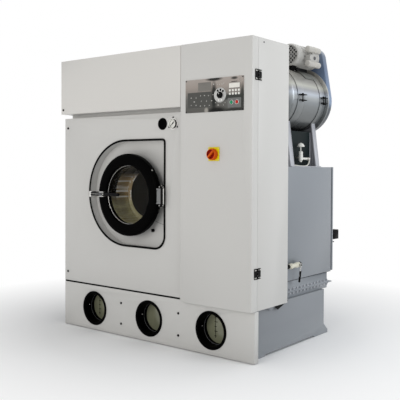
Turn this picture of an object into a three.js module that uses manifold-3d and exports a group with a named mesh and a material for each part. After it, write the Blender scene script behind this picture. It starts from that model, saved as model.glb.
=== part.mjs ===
// Dry cleaning machine: a sheet-metal front with a hood, a panel with the round loading door and
// a tall control column, a base tank with three sight ports, the perforated drum and its belt
// drive, the still casing, and a spin-disc solvent filter with its own motor on top.
// Millimetres, +Z up. The sub-parts are drawn from the machine's datum, which is the floor below
// the front right edge of the control column: x runs to the right, y to the back. The exported
// group moves that datum so that the origin lies under the middle of the machine.

import * as THREE from 'three';
import { mergeVertices } from 'three/addons/utils/BufferGeometryUtils.js';
import Module from 'manifold-3d';

const wasm = await Module();
wasm.setup();

// ---------------------------------------------------------------- driving dimensions

const WIDTH = 1716; // over the front panels
const HEIGHT = 1950; // top of hood and column
const SHEET = 2; // sheet-metal thickness
const FOLD = 4; // outer radius of a folded edge
const GAP = 0.3; // between pieces that touch
const ROUND = 26; // facets round the door, the drum and the filter
const SLIT = 2; // between neighbouring front panels

const OVERALL_DEPTH = { front: -46, back: 1220 }; // switch knob to level switch
const HINGE_REACH = 8; // column hinge barrels stand this far out of the right side

const COLUMN = { width: 553, depth: 405, doorDepth: 60, seam: 2 };
const HOOD = { bottom: 1560, depth: 405, sill: 72 };
const PANEL = { setback: 38, depth: 40, top: 1530, bottom: 331 };
const PLINTH = { top: 321, clearance: 4 };
const BODY = { left: -1683, right: -558, front: 81, back: 985, top: 1900, sheet: 3 };

const TANK = {
  side: -55, front: 81, back: 990, top: 317, footLift: 10, frontFoot: 231, rearFoot: 858,
  flare: 55, toe: 22, knee: 72,
};
const DECK = TANK.top + GAP; // what stands on the tank starts here
const PORT = {
  fromRight: [1390, 859, 330], z: 158, radius: 122, bore: 102, depth: 84, glass: 8, lip: 4, hidden: 3.4,
};
const PORT_NAMES = ['left', 'middle', 'right'];
const PORT_SIDES = 20;

const RECESS = { x: -1080, z: 995, radius: 363, right: -717, topCorner: 22, bottomCorner: 90, depth: 60 };
const EDGING = { thick: 5, out: 6, in: 8 };
const INSTRUMENT_OPENING = { left: -800, right: -590, bottom: 1390, top: 1515 };
const DOOR = { x: -1040, z: 984, radius: 282, front: 4, back: 48, opening: 199, rebate: 36 };
const DOOR_HINGE = { x: -722, y: 12, pin: 4.5, knuckle: 8, half: 51, arm: 20 };
const LATCH = { x: -1265, y: -14, grip: -1091, gripRadius: 11, tip: -1371, hub: 22, pin: 7 };
const KEEPER = { left: -1392, web: -1375, right: -1350, front: -14, foot: 44, cheek: 6 };

const SEAT = { lip: 248, foot: 236, gap: 4 };
const MOUTH = { radius: 198, front: 98.3, back: 212, wall: 4 };
const DRUM = {
  radius: 400, front: 216, back: 640, wall: 4, lip: 164, shaft: 35,
  rows: 2, perRow: 8, backRings: [{ ring: 210, count: 6 }],
};
const DRUM_RIB = { foot: 52, crest: 14, height: 80, sunk: 3 };
const HOUSING = { radius: 450, front: 150, back: 690, wall: 4, bearing: 800, sides: 24 };
const SUMP = { left: 190, right: 150, topLeft: 250, topRight: 230, top: 664, front: 230, back: 600 };
const CRADLE = { foot: 360, shoulder: 300, top: 794, inset: 12, thick: 18 };
const DRUM_PULLEY = { radius: 230, front: 830, back: 874, windows: 5 };
const PULLEY_SIDES = 18;
const DRIVE_MOTOR = { x: -1530, z: 440, radius: 88, front: 540, back: 790, pulley: 50 };

const DRYER = {
  left: -1560, right: -640, front: 420, back: 780, top: 1760,
  fan: { x: -1290, z: 1600, scroll: 140, motor: 62 },
  hatch: { left: -1000, right: -720, bottom: 1500, top: 1700 },
  duct: { bottom: 1384, neck: 130, mouth: 170, inset: 50 },
};
const BELT = { sunk: 6, thick: 8, half: 7 };

const FASCIA = { left: -508, right: -60, bottom: 1515, top: 1720, thick: 3 };
const DIAL = { x: -234, z: 1614, radius: 48, knob: 20 };
const DISPLAY = { left: -172, right: -86, bottom: 1647, top: 1682 };
const BUTTON_PAD = { left: -177, right: -81, bottom: 1534, top: 1593 };
const BUTTONS = { z: 1566, start: -147, stop: -107, radius: 10.5 };
const SWITCH = { x: -283, z: 1255, plate: 80, knob: 36, face: -24, bar: 15 };
const SWITCHGEAR = {
  bottom: 420, top: 1860, margin: 60, plate: 3, standoff: 12, rail: 8,
  rows: [
    { z: 1690, width: 60, height: 90, depth: 70, count: 4 },
    { z: 1440, width: 100, height: 84, depth: 95, count: 3 },
  ],
  transformer: { left: -460, right: -300, bottom: 500, top: 660, depth: 120 },
  inverter: { left: -240, right: -120, bottom: 500, top: 900, depth: 90 },
};
const WINDOW = { x: -739, z: 1459, radius: 40 };
const GAUGE = { x: -646, z: 1457, radius: 38 };
const HINGE_HEIGHTS = { upper: 1725, lower: 542 };
const COLUMN_HINGE = { x: 4, y: 61, barrel: 4, half: 32, reach: 34 };

const STILL = { left: -548, side: -62, front: 412, back: 1128, bottom: 433, top: 1180 };
const STILL_COVER = { thick: 16, groove: 12, sunk: 12 };
const STILL_BASE = { left: -540, side: -72, front: 430, back: 1060 };
const FLANGE = { z: 361, side: -60, back: 1110, thick: 8, overhang: 12 };
const LEVEL_BOX = { front: 1142, bottom: 656, top: 724, side: -64, width: 58 };
const BALL_VALVE = { x: -34, z: 535, front: 445, middle: 590, back: 622, radius: 19 };
const VALVE_LEVER = { out: 21, thick: 5, eye: 12, bottom: 424, swing: 20, half: 7 };
const GUSSET = { x: -40, thick: 4, front: 209, back: 380, tip: 270, bottom: 285 };

const FILTER = { x: -300, z: 1653, radius: 217, front: 545, shoulder: 620, back: 1052, flange: 243 };
const FILTER_WALL = { skin: 8, end: 14, rim: 16 };
const BANDS = { front: [655, 745], rear: [953, 1033], skin: 3, lug: 22, plate: 7, reach: 26, bolt: 4 };
const FILTER_DISCS = { count: 4, radius: 180, first: 690, pitch: 85, thick: 12, shaft: 24 };
const FILTER_PULLEY = { radius: 190, front: 1075, back: 1099 };
const MOTOR = { x: -205, z: 1955, radius: 78, front: 742, cover: 58, back: 1048, shaft: 12, pulley: 52 };
const MOTOR_SIDES = 20;
const MOTOR_FOOT = { left: 72, right: 12, bottom: 1803, inset: 40 };
const TERMINAL_BOX = {
  front: 822, back: 926, bottom: 1914, top: 1956, reach: 40,
  caps: { out: 30, radius: 22, front: 800, back: 962, heights: [1992, 1893] },
};
const GUARD = { front: 1060, back: 1114, lower: 230, upper: 86, skin: 3, shaftHole: 60, motorHole: 30 };
const STAND = {
  front: 618, back: 1010, leg: 50, foot: 190, shoulder: 148, shoulderZ: 1500, plate: 8, sole: 6,
  side: { x: 132, thick: 6, top: 1428 },
};
const AIR_VALVE = { x: -128, y: 776, bottom: 1214, body: 15, outlet: 1238, cap: 26, hoseEnd: 892 };
const HOSE_RADIUS = 4.5;

// ---------------------------------------------------------------- materials

const paint = (color, roughness = 0.42) =>
  new THREE.MeshStandardMaterial({ color, roughness, metalness: 0.05 });
const metal = (color, roughness = 0.3) =>
  new THREE.MeshStandardMaterial({ color, roughness, metalness: 0.9 });
const plastic = (color, roughness = 0.5) =>
  new THREE.MeshStandardMaterial({ color, roughness, metalness: 0 });

const WHITE_PAINT = '#c9c8c4';
const GREY_PAINT = '#8f959c';
const TANK_PAINT = '#888d90';
const FILTER_PAINT = '#969898';
const GUARD_PAINT = '#5c6e82';
const BLACK = '#141414';
const STEEL = '#b9bab8';
const DARK_STEEL = '#55565a';

// ---------------------------------------------------------------- solids and booleans

function signedVolume(points, indices) {
  let total = 0;
  const a = new THREE.Vector3();
  const b = new THREE.Vector3();
  const c = new THREE.Vector3();
  for (let i = 0; i < indices.length; i += 3) {
    a.fromArray(points, indices[i] * 3);
    b.fromArray(points, indices[i + 1] * 3);
    c.fromArray(points, indices[i + 2] * 3);
    total += a.dot(b.cross(c)) / 6;
  }
  return total;
}

// A three.js geometry as a manifold solid: vertices merged, slivers dropped, faces turned outward.
function solid(geometry) {
  const plain = new THREE.BufferGeometry();
  plain.setAttribute('position', geometry.getAttribute('position'));
  plain.setIndex(geometry.getIndex());
  const merged = mergeVertices(plain, 1e-4);
  const points = merged.getAttribute('position').array;
  const source = merged.getIndex().array;
  const indices = [];
  for (let i = 0; i < source.length; i += 3) {
    const [a, b, c] = [source[i], source[i + 1], source[i + 2]];
    if (a !== b && b !== c && c !== a) {
      indices.push(a, b, c);
    }
  }
  if (signedVolume(points, indices) < 0) {
    indices.reverse();
  }
  return new wasm.Manifold(
    new wasm.Mesh({
      numProp: 3,
      vertProperties: new Float32Array(points),
      triVerts: new Uint32Array(indices),
    }),
  );
}

const join = (...pieces) => pieces.reduce((whole, piece) => whole.add(piece));
const cut = (stock, ...tools) => tools.reduce((rest, tool) => rest.subtract(tool), stock);

function node(name, body, material) {
  const { vertProperties, triVerts } = body.getMesh();
  const geometry = new THREE.BufferGeometry();
  geometry.setAttribute('position', new THREE.BufferAttribute(new Float32Array(vertProperties), 3));
  geometry.setIndex(new THREE.BufferAttribute(new Uint32Array(triVerts), 1));
  geometry.computeVertexNormals();
  const mesh = new THREE.Mesh(geometry, material);
  mesh.name = name;
  return mesh;
}

function block(x0, x1, y0, y1, z0, z1) {
  const box = new THREE.BoxGeometry(x1 - x0, y1 - y0, z1 - z0);
  return solid(box.translate((x0 + x1) / 2, (y0 + y1) / 2, (z0 + z1) / 2));
}

function rodY(x, z, radius, y0, y1, sides = ROUND) {
  const rod = new THREE.CylinderGeometry(radius, radius, y1 - y0, sides);
  return solid(rod.translate(x, (y0 + y1) / 2, z));
}

function rodZ(x, y, radius, z0, z1, sides = 24) {
  const rod = new THREE.CylinderGeometry(radius, radius, z1 - z0, sides).rotateX(Math.PI / 2);
  return solid(rod.translate(x, y, (z0 + z1) / 2));
}

function rodX(y, z, radius, x0, x1, sides = 24) {
  const rod = new THREE.CylinderGeometry(radius, radius, x1 - x0, sides).rotateZ(Math.PI / 2);
  return solid(rod.translate((x0 + x1) / 2, y, z));
}

// Revolves [radius, y] pairs about the y axis through (x, z).
function latheY(x, z, profile, sides = ROUND) {
  const points = profile.map(([r, y]) => new THREE.Vector2(r, y));
  return solid(new THREE.LatheGeometry(points, sides).translate(x, 0, z));
}

// Revolves [radius, z] pairs about the z axis through (x, y).
function latheZ(x, y, profile, sides = 24) {
  const points = profile.map(([r, z]) => new THREE.Vector2(r, z));
  return solid(new THREE.LatheGeometry(points, sides).rotateX(Math.PI / 2).translate(x, y, 0));
}

const shapeOf = (points) => new THREE.Shape(points.map(([a, b]) => new THREE.Vector2(a, b)));
const extrusion = (outline, depth) =>
  new THREE.ExtrudeGeometry(shapeOf(outline), { depth, bevelEnabled: false });

// Outline of [x, y] pairs, extruded upward.
const alongZ = (outline, z0, z1) => solid(extrusion(outline, z1 - z0).translate(0, 0, z0));

// Outline of [x, z] pairs, extruded to the back.
const alongY = (outline, y0, y1) =>
  solid(extrusion(outline, y1 - y0).rotateX(Math.PI / 2).translate(0, y1, 0));

// Outline of [y, z] pairs, extruded to the right.
function alongX(outline, x0, x1) {
  const turn = new THREE.Matrix4().makeBasis(
    new THREE.Vector3(0, 1, 0),
    new THREE.Vector3(0, 0, 1),
    new THREE.Vector3(1, 0, 0),
  );
  return solid(extrusion(outline, x1 - x0).applyMatrix4(turn).translate(x0, 0, 0));
}

function arc(cx, cy, radius, from, to, steps) {
  return Array.from({ length: steps + 1 }, (_, i) => {
    const angle = THREE.MathUtils.degToRad(from + ((to - from) * i) / steps);
    return [cx + radius * Math.cos(angle), cy + radius * Math.sin(angle)];
  });
}

// Plan outline of a folded sheet body with rounded front edges.
function foldedPlan(x0, x1, y0, y1) {
  return [
    [x0, y1],
    ...arc(x0 + FOLD, y0 + FOLD, FOLD, 180, 270, 2),
    ...arc(x1 - FOLD, y0 + FOLD, FOLD, 270, 360, 2),
    [x1, y1],
  ];
}

// Plan outline with all four edges rounded.
function roundedPlan(x0, x1, y0, y1, radius) {
  return [
    ...arc(x0 + radius, y0 + radius, radius, 180, 270, 2),
    ...arc(x1 - radius, y0 + radius, radius, 270, 360, 2),
    ...arc(x1 - radius, y1 - radius, radius, 0, 90, 2),
    ...arc(x0 + radius, y1 - radius, radius, 90, 180, 2),
  ];
}

// A folded sheet pan, closed at the front and open at the back.
function sheetPan(x0, x1, y0, y1, z0, z1) {
  const outer = alongZ(foldedPlan(x0, x1, y0, y1), z0, z1);
  return cut(outer, block(x0 + SHEET, x1 - SHEET, y0 + SHEET, y1 + 1, z0 + SHEET, z1 - SHEET));
}

// Outline round two circles and the tangents that join them, as a belt runs round two pulleys.
function beltOutline(x1, z1, r1, x2, z2, r2, steps = 14) {
  const dx = x2 - x1;
  const dz = z2 - z1;
  const along = THREE.MathUtils.radToDeg(Math.atan2(dz, dx));
  const lean = THREE.MathUtils.radToDeg(Math.acos((r1 - r2) / Math.hypot(dx, dz)));
  return [
    ...arc(x1, z1, r1, along + lean, along + 360 - lean, steps),
    ...arc(x2, z2, r2, along - lean, along + lean, steps / 2),
  ];
}

// ---------------------------------------------------------------- base tank, plinth, sight ports

function baseTank() {
  const { front, back, top, footLift, frontFoot, rearFoot, flare, toe, knee } = TANK;
  const side = [
    [front, 0],
    [frontFoot, 0],
    [frontFoot + footLift, footLift],
    [rearFoot - footLift, footLift],
    [rearFoot, 0],
    [back + flare, 0],
    [back + flare, toe],
    [back, knee],
    [back, top],
    [front, top],
  ];
  const tank = alongX(side, BODY.left, TANK.side);
  const wellBack = PANEL.setback + PORT.depth + PORT.glass + 2 * GAP;
  const wells = PORT.fromRight.map((x) => rodY(-x, PORT.z, PORT.radius + 8, front - 1, wellBack, 10));
  return node('base_tank', cut(tank, ...wells), paint(TANK_PAINT, 0.5));
}

function plinthPanel() {
  const { setback, depth } = PANEL;
  const { top, clearance } = PLINTH;
  const columnEdge = -COLUMN.width - SLIT;
  const outer = alongZ(foldedPlan(-WIDTH, 0, setback, setback + depth), clearance, top);
  const inside = block(
    -WIDTH + SHEET, -SHEET, setback + SHEET, setback + depth + 1, clearance - 1, top - SHEET,
  );
  const notch = block(columnEdge, 1, setback - 1, setback + depth + 1, DECK - 3, top + 1);
  const holes = PORT.fromRight.map((x) => rodY(-x, PORT.z, PORT.radius - 3, setback - 1, 60, PORT_SIDES));
  return node('plinth_panel', cut(outer, inside, notch, ...holes), paint(WHITE_PAINT));
}

function sightPort(index) {
  const x = -PORT.fromRight[index];
  const front = PANEL.setback;
  const back = front + PORT.depth;
  const tube = latheY(x, PORT.z, [
    [PORT.bore, front - PORT.lip],
    [PORT.radius, front - PORT.lip],
    [PORT.radius, front - GAP],
    [PORT.radius - PORT.hidden, front - GAP],
    [PORT.radius - PORT.hidden, back],
    [PORT.bore, back],
    [PORT.bore, front - PORT.lip],
  ], PORT_SIDES);
  const glass = rodY(x, PORT.z, PORT.bore + 12, back + GAP, back + GAP + PORT.glass, PORT_SIDES);
  return [
    node(`sight_tube_${PORT_NAMES[index]}`, tube, plastic(BLACK, 0.45)),
    node(`sight_glass_${PORT_NAMES[index]}`, glass, plastic('#69695a', 0.15)),
  ];
}

// ---------------------------------------------------------------- front panels and body

// D-shaped outline of the door recess: a half circle on the left, square on the right.
function recessOutline(grow) {
  const { x, z, right, topCorner, bottomCorner } = RECESS;
  const radius = RECESS.radius + grow;
  const edge = right + grow;
  const rTop = topCorner + grow;
  const rBottom = bottomCorner + grow;
  return [
    ...arc(edge - rBottom, z - radius + rBottom, rBottom, 270, 360, 6),
    ...arc(edge - rTop, z + radius - rTop, rTop, 0, 90, 4),
    ...arc(x, z, radius, 90, 270, 20),
  ];
}

function frontPanel() {
  const { setback, depth, top, bottom } = PANEL;
  const back = setback + depth;
  const pan = sheetPan(-WIDTH, -COLUMN.width - SLIT, setback, back, bottom, top);
  const opening = alongY(recessOutline(0), setback - 1, back);
  const windowHole = rodY(WINDOW.x, WINDOW.z, WINDOW.radius - 5, setback - 1, back, 16);
  const gaugeHole = rodY(GAUGE.x, GAUGE.z, GAUGE.radius - 1.5, setback - 1, back, 16);
  return node('front_panel', cut(pan, opening, windowHole, gaugeHole), paint(WHITE_PAINT));
}

function doorRecess() {
  const front = PANEL.setback;
  const floor = front + RECESS.depth;
  const outer = alongY(recessOutline(-GAP), front, floor + SHEET);
  const inner = alongY(recessOutline(-GAP - SHEET), front - 1, floor);
  const mouthHole = rodY(DOOR.x, DOOR.z, MOUTH.radius + 6, floor - 1, floor + SHEET + 1, ROUND);
  return node('door_recess', cut(outer, inner, mouthHole), paint(WHITE_PAINT));
}

function recessEdging() {
  const front = PANEL.setback - EDGING.thick;
  const back = PANEL.setback - GAP;
  const ring = cut(
    alongY(recessOutline(EDGING.out), front, back),
    alongY(recessOutline(-EDGING.in), front - 1, back + 1),
  );
  return node('recess_edging', ring, plastic(BLACK, 0.6));
}

function hoodPanel() {
  const { bottom, depth, sill } = HOOD;
  const right = -COLUMN.width - SLIT;
  const pan = sheetPan(-WIDTH, right, 0, depth, bottom, HEIGHT);
  const openBottom = block(
    -WIDTH + SHEET, right - SHEET, sill, depth + 1, bottom - 1, bottom + SHEET + 1,
  );
  return node('hood_panel', cut(pan, openBottom), paint(WHITE_PAINT));
}

// Sheet body behind the panels: front bulkhead, left wall and top, open to the right and back.
function bodyCasing() {
  const { left, right, front, back, top, sheet } = BODY;
  const bottom = DECK;
  const shell = cut(
    block(left, right, front, back, bottom, top),
    block(left + sheet, right + 1, front + 40, back + 1, bottom - 1, top - sheet),
  );
  const bulkhead = block(left + sheet, right - sheet, front + sheet, front + 41, bottom - 1, top - 20);
  const passage = alongY(recessOutline(EDGING.out), front - 1, front + 60);
  const gap = INSTRUMENT_OPENING;
  const instruments = block(gap.left, gap.right, front - 1, front + 60, gap.bottom, gap.top);
  return node('body_casing', cut(shell, bulkhead, passage, instruments), paint(WHITE_PAINT, 0.5));
}

// ---------------------------------------------------------------- control column

// Cabinet with its doorway, and a gusset below the part that overhangs the tank.
function columnCabinet() {
  const { width, depth, doorDepth, seam } = COLUMN;
  const front = doorDepth + seam;
  const outer = alongZ(foldedPlan(-width, 0, front, depth), DECK, HEIGHT);
  const inside = block(
    -width + SHEET, -SHEET, front + SHEET, depth - SHEET, DECK + SHEET, HEIGHT - SHEET,
  );
  const lip = 18;
  const doorway = block(-width + lip, -lip, front - 1, front + 5, DECK + lip, HEIGHT - lip);
  const gusset = alongX([
    [GUSSET.front, DECK + 1],
    [GUSSET.tip, GUSSET.bottom],
    [GUSSET.back, DECK + 1],
  ], GUSSET.x, GUSSET.x + GUSSET.thick);
  const cabinet = join(cut(outer, inside, doorway), gusset);
  return node('column_cabinet', cabinet, paint(WHITE_PAINT));
}

// One leaf of a barrel hinge: the fixed leaf has the middle knuckle, the door's leaf the others.
function hingeLeaf(z, fixed) {
  const { x, y, barrel, half, reach } = COLUMN_HINGE;
  const clear = barrel + GAP;
  const third = (2 * half) / 3;
  const plate = fixed
    ? block(GAP, x - 1, y + clear, y + reach, z - half, z + half)
    : block(GAP - 1, x - 1, y - reach, y - clear, z - half, z + half);
  const thirds = fixed ? [1] : [0, 2];
  const knuckles = thirds.map((i) => {
    const low = z - half + i * third + GAP;
    const high = low + third - 2 * GAP;
    const web = fixed ? [y, y + clear + 1] : [y - clear - 1, y];
    return join(rodZ(x, y, barrel, low, high, 8), block(x - 3, x - 1, web[0], web[1], low, high));
  });
  return join(plate, ...knuckles);
}

function columnHinges() {
  return Object.entries(HINGE_HEIGHTS).map(([name, z]) =>
    node(`column_hinge_${name}`, hingeLeaf(z, true), paint(BLACK, 0.4)));
}

function columnDoor() {
  const { width, doorDepth } = COLUMN;
  const pan = sheetPan(-width, 0, 0, doorDepth, DECK, HEIGHT);
  const fasciaHole = block(
    FASCIA.left + 14, FASCIA.right - 14, -1, 4, FASCIA.bottom + 12, FASCIA.top - 12,
  );
  const switchHole = rodY(SWITCH.x, SWITCH.z, 12, -1, 4, 8);
  const leaves = Object.values(HINGE_HEIGHTS).map((z) => hingeLeaf(z, false));
  return node('column_door', join(cut(pan, fasciaHole, switchHole), ...leaves), paint(WHITE_PAINT));
}

// Mounting plate with rails and rows of switchgear, a transformer and an inverter at the bottom.
function electricalPanel() {
  const { bottom, top, margin, plate, standoff, rail, rows, transformer, inverter } = SWITCHGEAR;
  const back = COLUMN.depth - SHEET - GAP;
  const plateBack = back - standoff;
  const plateFront = plateBack - plate;
  const left = -COLUMN.width + margin;
  const right = -margin;
  const parts = [block(left, right, plateFront, plateBack, bottom, top)];
  for (const x of [left + margin / 2, right - margin / 2]) {
    for (const z of [bottom + margin, top - margin]) {
      parts.push(block(x - 8, x + 8, plateBack - 1, back, z - 8, z + 8));
    }
  }
  for (const { z, width, height, depth, count } of rows) {
    parts.push(block(left + 20, right - 20, plateFront - rail, plateFront + 1, z - 17, z + 17));
    for (let i = 0; i < count; i += 1) {
      const x = left + 40 + i * (width + 16);
      const front = plateFront - rail - depth;
      parts.push(block(x, x + width, front, plateFront - rail + 1, z - height / 2, z + height / 2));
    }
  }
  for (const unit of [transformer, inverter]) {
    const front = plateFront - unit.depth;
    parts.push(block(unit.left, unit.right, front, plateFront + 1, unit.bottom, unit.top));
  }
  return node('electrical_panel', join(...parts), metal('#8d9094', 0.5));
}

// ---------------------------------------------------------------- controls and instruments

function controlFascia() {
  const { left, right, bottom, top, thick } = FASCIA;
  const front = -GAP - thick;
  const plate = block(left, right, front, -GAP, bottom, top);
  const disc = rodY(DIAL.x, DIAL.z, DIAL.radius, front - 3, front + 1, 22);
  const pad = block(
    BUTTON_PAD.left, BUTTON_PAD.right, front - 2, front + 1, BUTTON_PAD.bottom, BUTTON_PAD.top,
  );
  const display = block(
    DISPLAY.left, DISPLAY.right, front - 2, front + 1, DISPLAY.bottom, DISPLAY.top,
  );
  const spindle = rodY(DIAL.x, DIAL.z, 4.5, front - 4, 1, 10);
  const bores = [BUTTONS.start, BUTTONS.stop].map((x) =>
    rodY(x, BUTTONS.z, BUTTONS.radius + 0.5, front - 4, 1, 14));
  const body = cut(join(plate, disc, pad, display), spindle, ...bores);
  return node('control_fascia', body, metal('#6d6c69', 0.25));
}

function programKnob() {
  const front = -GAP - FASCIA.thick - 3;
  const knob = latheY(DIAL.x, DIAL.z, [
    [0, front - 20],
    [DIAL.knob - 6, front - 20],
    [DIAL.knob - 4, front - 5],
    [DIAL.knob, front - 4],
    [DIAL.knob, front - 0.5],
    [4, front - 0.5],
    [4, 12],
    [0, 12],
  ], 16);
  const ridge = block(DIAL.x - 1.5, DIAL.x + 1.5, front - 22, front - 6, DIAL.z, DIAL.z + 14);
  return node('program_knob', join(knob, ridge), plastic(BLACK, 0.4));
}

function pushButton(name, x, color) {
  const face = -GAP - FASCIA.thick - 9;
  const r = BUTTONS.radius;
  const button = latheY(x, BUTTONS.z, [
    [0, face],
    [r - 2, face],
    [r, face + 1.5],
    [r, 10],
    [0, 10],
  ], 14);
  return node(name, button, plastic(color, 0.35));
}

function mainSwitch() {
  const half = SWITCH.plate / 2;
  const plate = cut(
    alongY(roundedPlan(SWITCH.x - half, SWITCH.x + half, SWITCH.z - half, SWITCH.z + half, 4), -4, -GAP),
    rodY(SWITCH.x, SWITCH.z, 9, -6, 1, 10),
  );
  const { face } = SWITCH;
  const knob = latheY(SWITCH.x, SWITCH.z, [
    [0, face],
    [SWITCH.knob - 6, face],
    [SWITCH.knob - 1, face + 4],
    [SWITCH.knob, -5],
    [8, -5],
    [8, -face],
    [0, -face],
  ], 20);
  const bar = new THREE.BoxGeometry(SWITCH.bar, 24, 2 * SWITCH.knob - 8);
  bar.rotateY(THREE.MathUtils.degToRad(45));
  bar.translate(SWITCH.x, OVERALL_DEPTH.front + 12, SWITCH.z);
  return [
    node('main_switch_plate', plate, plastic('#e3cf1a', 0.45)),
    node('main_switch_knob', join(knob, solid(bar)), plastic('#d0380d', 0.4)),
  ];
}

function flowWindow() {
  const face = PANEL.setback - GAP;
  const { x, z, radius } = WINDOW;
  const body = latheY(x, z, [
    [0, face - 1.5],
    [radius - 9, face - 1.5],
    [radius - 6, face - 5],
    [radius, face],
    [radius - 6, face],
    [radius - 6, face + 38],
    [0, face + 38],
  ], 18);
  return node('flow_window', body, plastic('#0d0d0d', 0.2));
}

function pressureGauge() {
  const face = PANEL.setback - GAP;
  const { x, z, radius } = GAUGE;
  const bowl = latheY(x, z, [
    [0, face - 6],
    [radius - 5, face - 6],
    [radius - 5, face - 15],
    [radius, face - 14],
    [radius, face],
    [radius - 3, face],
    [radius - 3, face + 34],
    [0, face + 34],
  ], 16);
  const ears = [90, 210, 330].map((angle) => {
    const [ex, ez] = arc(x, z, radius + 3, angle, angle, 1)[0];
    return rodY(ex, ez, 6, face - 3, face, 8);
  });
  const stud = rodY(x, z, 1.6, face - 8, face - 5, 8);
  const hand = alongY([
    [x - 1.2, z + 1.2],
    [x + 1.2, z - 1.2],
    [x - 19, z - 20],
    [x - 20, z - 19],
  ], face - 11.5, face - 10);
  const pointer = join(rodY(x, z, 4, face - 12, face - 9, 12), hand);
  return [
    node('pressure_gauge', join(bowl, ...ears, stud), plastic('#d8d8d4', 0.4)),
    node('gauge_pointer', pointer, paint(BLACK, 0.5)),
  ];
}

// ---------------------------------------------------------------- loading door

function doorSeat() {
  const floor = PANEL.setback + RECESS.depth - GAP;
  const face = DOOR.back + SEAT.gap;
  const seat = latheY(DOOR.x, DOOR.z, [
    [MOUTH.radius, face],
    [SEAT.lip, face],
    [SEAT.foot, floor],
    [MOUTH.radius, floor],
    [MOUTH.radius, face],
  ]);
  return node('door_seat', seat, plastic(BLACK, 0.6));
}

// Deep door ring: the glass sits in a rebate behind, and the latch pin stands out of its face.
function doorRing() {
  const { x, z, radius, front, back, opening, rebate } = DOOR;
  const seat = opening + 16;
  const ring = latheY(x, z, [
    [opening, rebate],
    [opening + 1, front + 9],
    [opening + 8, front],
    [radius - 20, front],
    [radius - 6, front + 4],
    [radius, front + 12],
    [radius, back],
    [seat, back],
    [seat, rebate],
    [opening, rebate],
  ]);
  const pinFront = LATCH.y - LATCH.gripRadius;
  const pin = rodY(LATCH.x, z, LATCH.pin, pinFront, front + 10, 10);
  const head = rodY(LATCH.x, z, LATCH.pin + 4, pinFront - 4, pinFront, 10);
  return node('door_ring', join(ring, pin, head), paint('#101010', 0.25));
}

function doorGlass() {
  const { x, z, opening, rebate } = DOOR;
  const thick = 8;
  const glass = rodY(x, z, opening + 15, rebate + GAP, rebate + GAP + thick);
  return node('door_glass', glass, plastic('#3a3a34', 0.08));
}

// Fixed bracket with its pin beside the recess edge, and the lug on the ring that turns on it.
function doorHinge() {
  const { x, y, pin, knuckle, half, arm } = DOOR_HINGE;
  const { z } = DOOR;
  const floor = PANEL.setback + RECESS.depth - GAP;
  const edging = { inner: RECESS.right - EDGING.in - GAP, front: PANEL.setback - EDGING.thick };
  const post = { left: edging.inner - 20, front: PANEL.setback + 2 };
  const armPlan = [
    [post.left, floor],
    [post.left, y - 2],
    [x - knuckle, y - knuckle],
    [x + knuckle, y - knuckle],
    [x + knuckle, y + knuckle],
    [edging.inner, edging.front - 4],
    [edging.inner, floor],
  ];
  const armEnds = [[z - half - arm, z - half - GAP], [z + half + GAP, z + half + arm]];
  const arms = armEnds.map(([z0, z1]) => alongZ(armPlan, z0, z1));
  const strut = block(post.left, edging.inner, post.front, floor, z - half - 1, z + half + 1);
  const foot = block(post.left - 16, edging.inner, floor - 4, floor, z - half - arm, z + half + arm);
  const pinRod = rodZ(x, y, pin, z - half - 2, z + half + 2, 8);
  const bore = rodZ(x, y, pin + 0.5, z - half - 1, z + half + 1, 8);
  const rimSide = DOOR.x + DOOR.radius;
  const lug = cut(
    block(rimSide - 20, x, DOOR.front + 1, post.front - 4, z - half, z + half),
    rodY(DOOR.x, z, DOOR.radius + GAP, DOOR.front, DOOR.back, ROUND),
    block(x - knuckle - 3, x + 1, y + knuckle, DOOR.back, z - half - 1, z + half + 1),
  );
  const barrel = rodZ(x, y, knuckle, z - half, z + half, 10);
  return [
    node('door_hinge_bracket', join(...arms, strut, foot, pinRod), metal(DARK_STEEL, 0.45)),
    node('door_hinge_leaf', cut(join(lug, barrel), bore), metal(STEEL, 0.3)),
  ];
}

// A lever that turns on the ring's pin: grip to the right, forked catch arm to the left.
function latchLever() {
  const { x, y, grip, gripRadius, tip, hub, pin } = LATCH;
  const { z } = DOOR;
  const front = y - gripRadius + GAP;
  const back = DOOR.front - GAP;
  const boss = rodY(x, z, hub, front, back, 16);
  const arm = block(tip, x, y - 7, y + 7, z - 11, z + 11);
  const slot = block(tip + 12, x - hub, y - 8, y + 8, z - 4, z + 4);
  const start = x + hub + 4;
  const handle = solid(
    new THREE.CapsuleGeometry(gripRadius, grip - start - 2 * gripRadius, 3, 10)
      .rotateZ(Math.PI / 2)
      .translate((start + grip) / 2, y, z),
  );
  const neck = rodX(y, z, gripRadius - 4, x, start + gripRadius, 8);
  const bore = rodY(x, z, pin + 0.6, front - 1, back + 1, 10);
  const lever = cut(join(boss, cut(arm, slot), neck, handle), bore);
  return node('latch_lever', lever, metal(STEEL, 0.3));
}

// Keeper: a post on the recess floor whose cheek lies above the tip of the lever's arm.
function latchKeeper() {
  const { left, web, right, front, foot, cheek } = KEEPER;
  const { z } = DOOR;
  const floor = PANEL.setback + RECESS.depth - GAP;
  const arm = 11 + 2 * GAP;
  const post = block(left, web, front, floor, z - foot / 2, z + arm + cheek);
  const hook = block(left, right, front, front + 26, z + arm, z + arm + cheek);
  const base = block(left - 14, right, floor - 5, floor, z - foot / 2, z + arm + cheek);
  return node('latch_keeper', join(post, hook, base), metal(STEEL, 0.35));
}

// ---------------------------------------------------------------- drum and its drive

function loadingMouth() {
  const { radius, front, back, wall } = MOUTH;
  const mouth = latheY(DOOR.x, DOOR.z, [
    [radius, front],
    [radius + wall, front],
    [radius + wall, back],
    [radius, back],
    [radius, front],
  ]);
  return node('loading_mouth', mouth, metal('#8f8468', 0.25));
}

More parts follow.
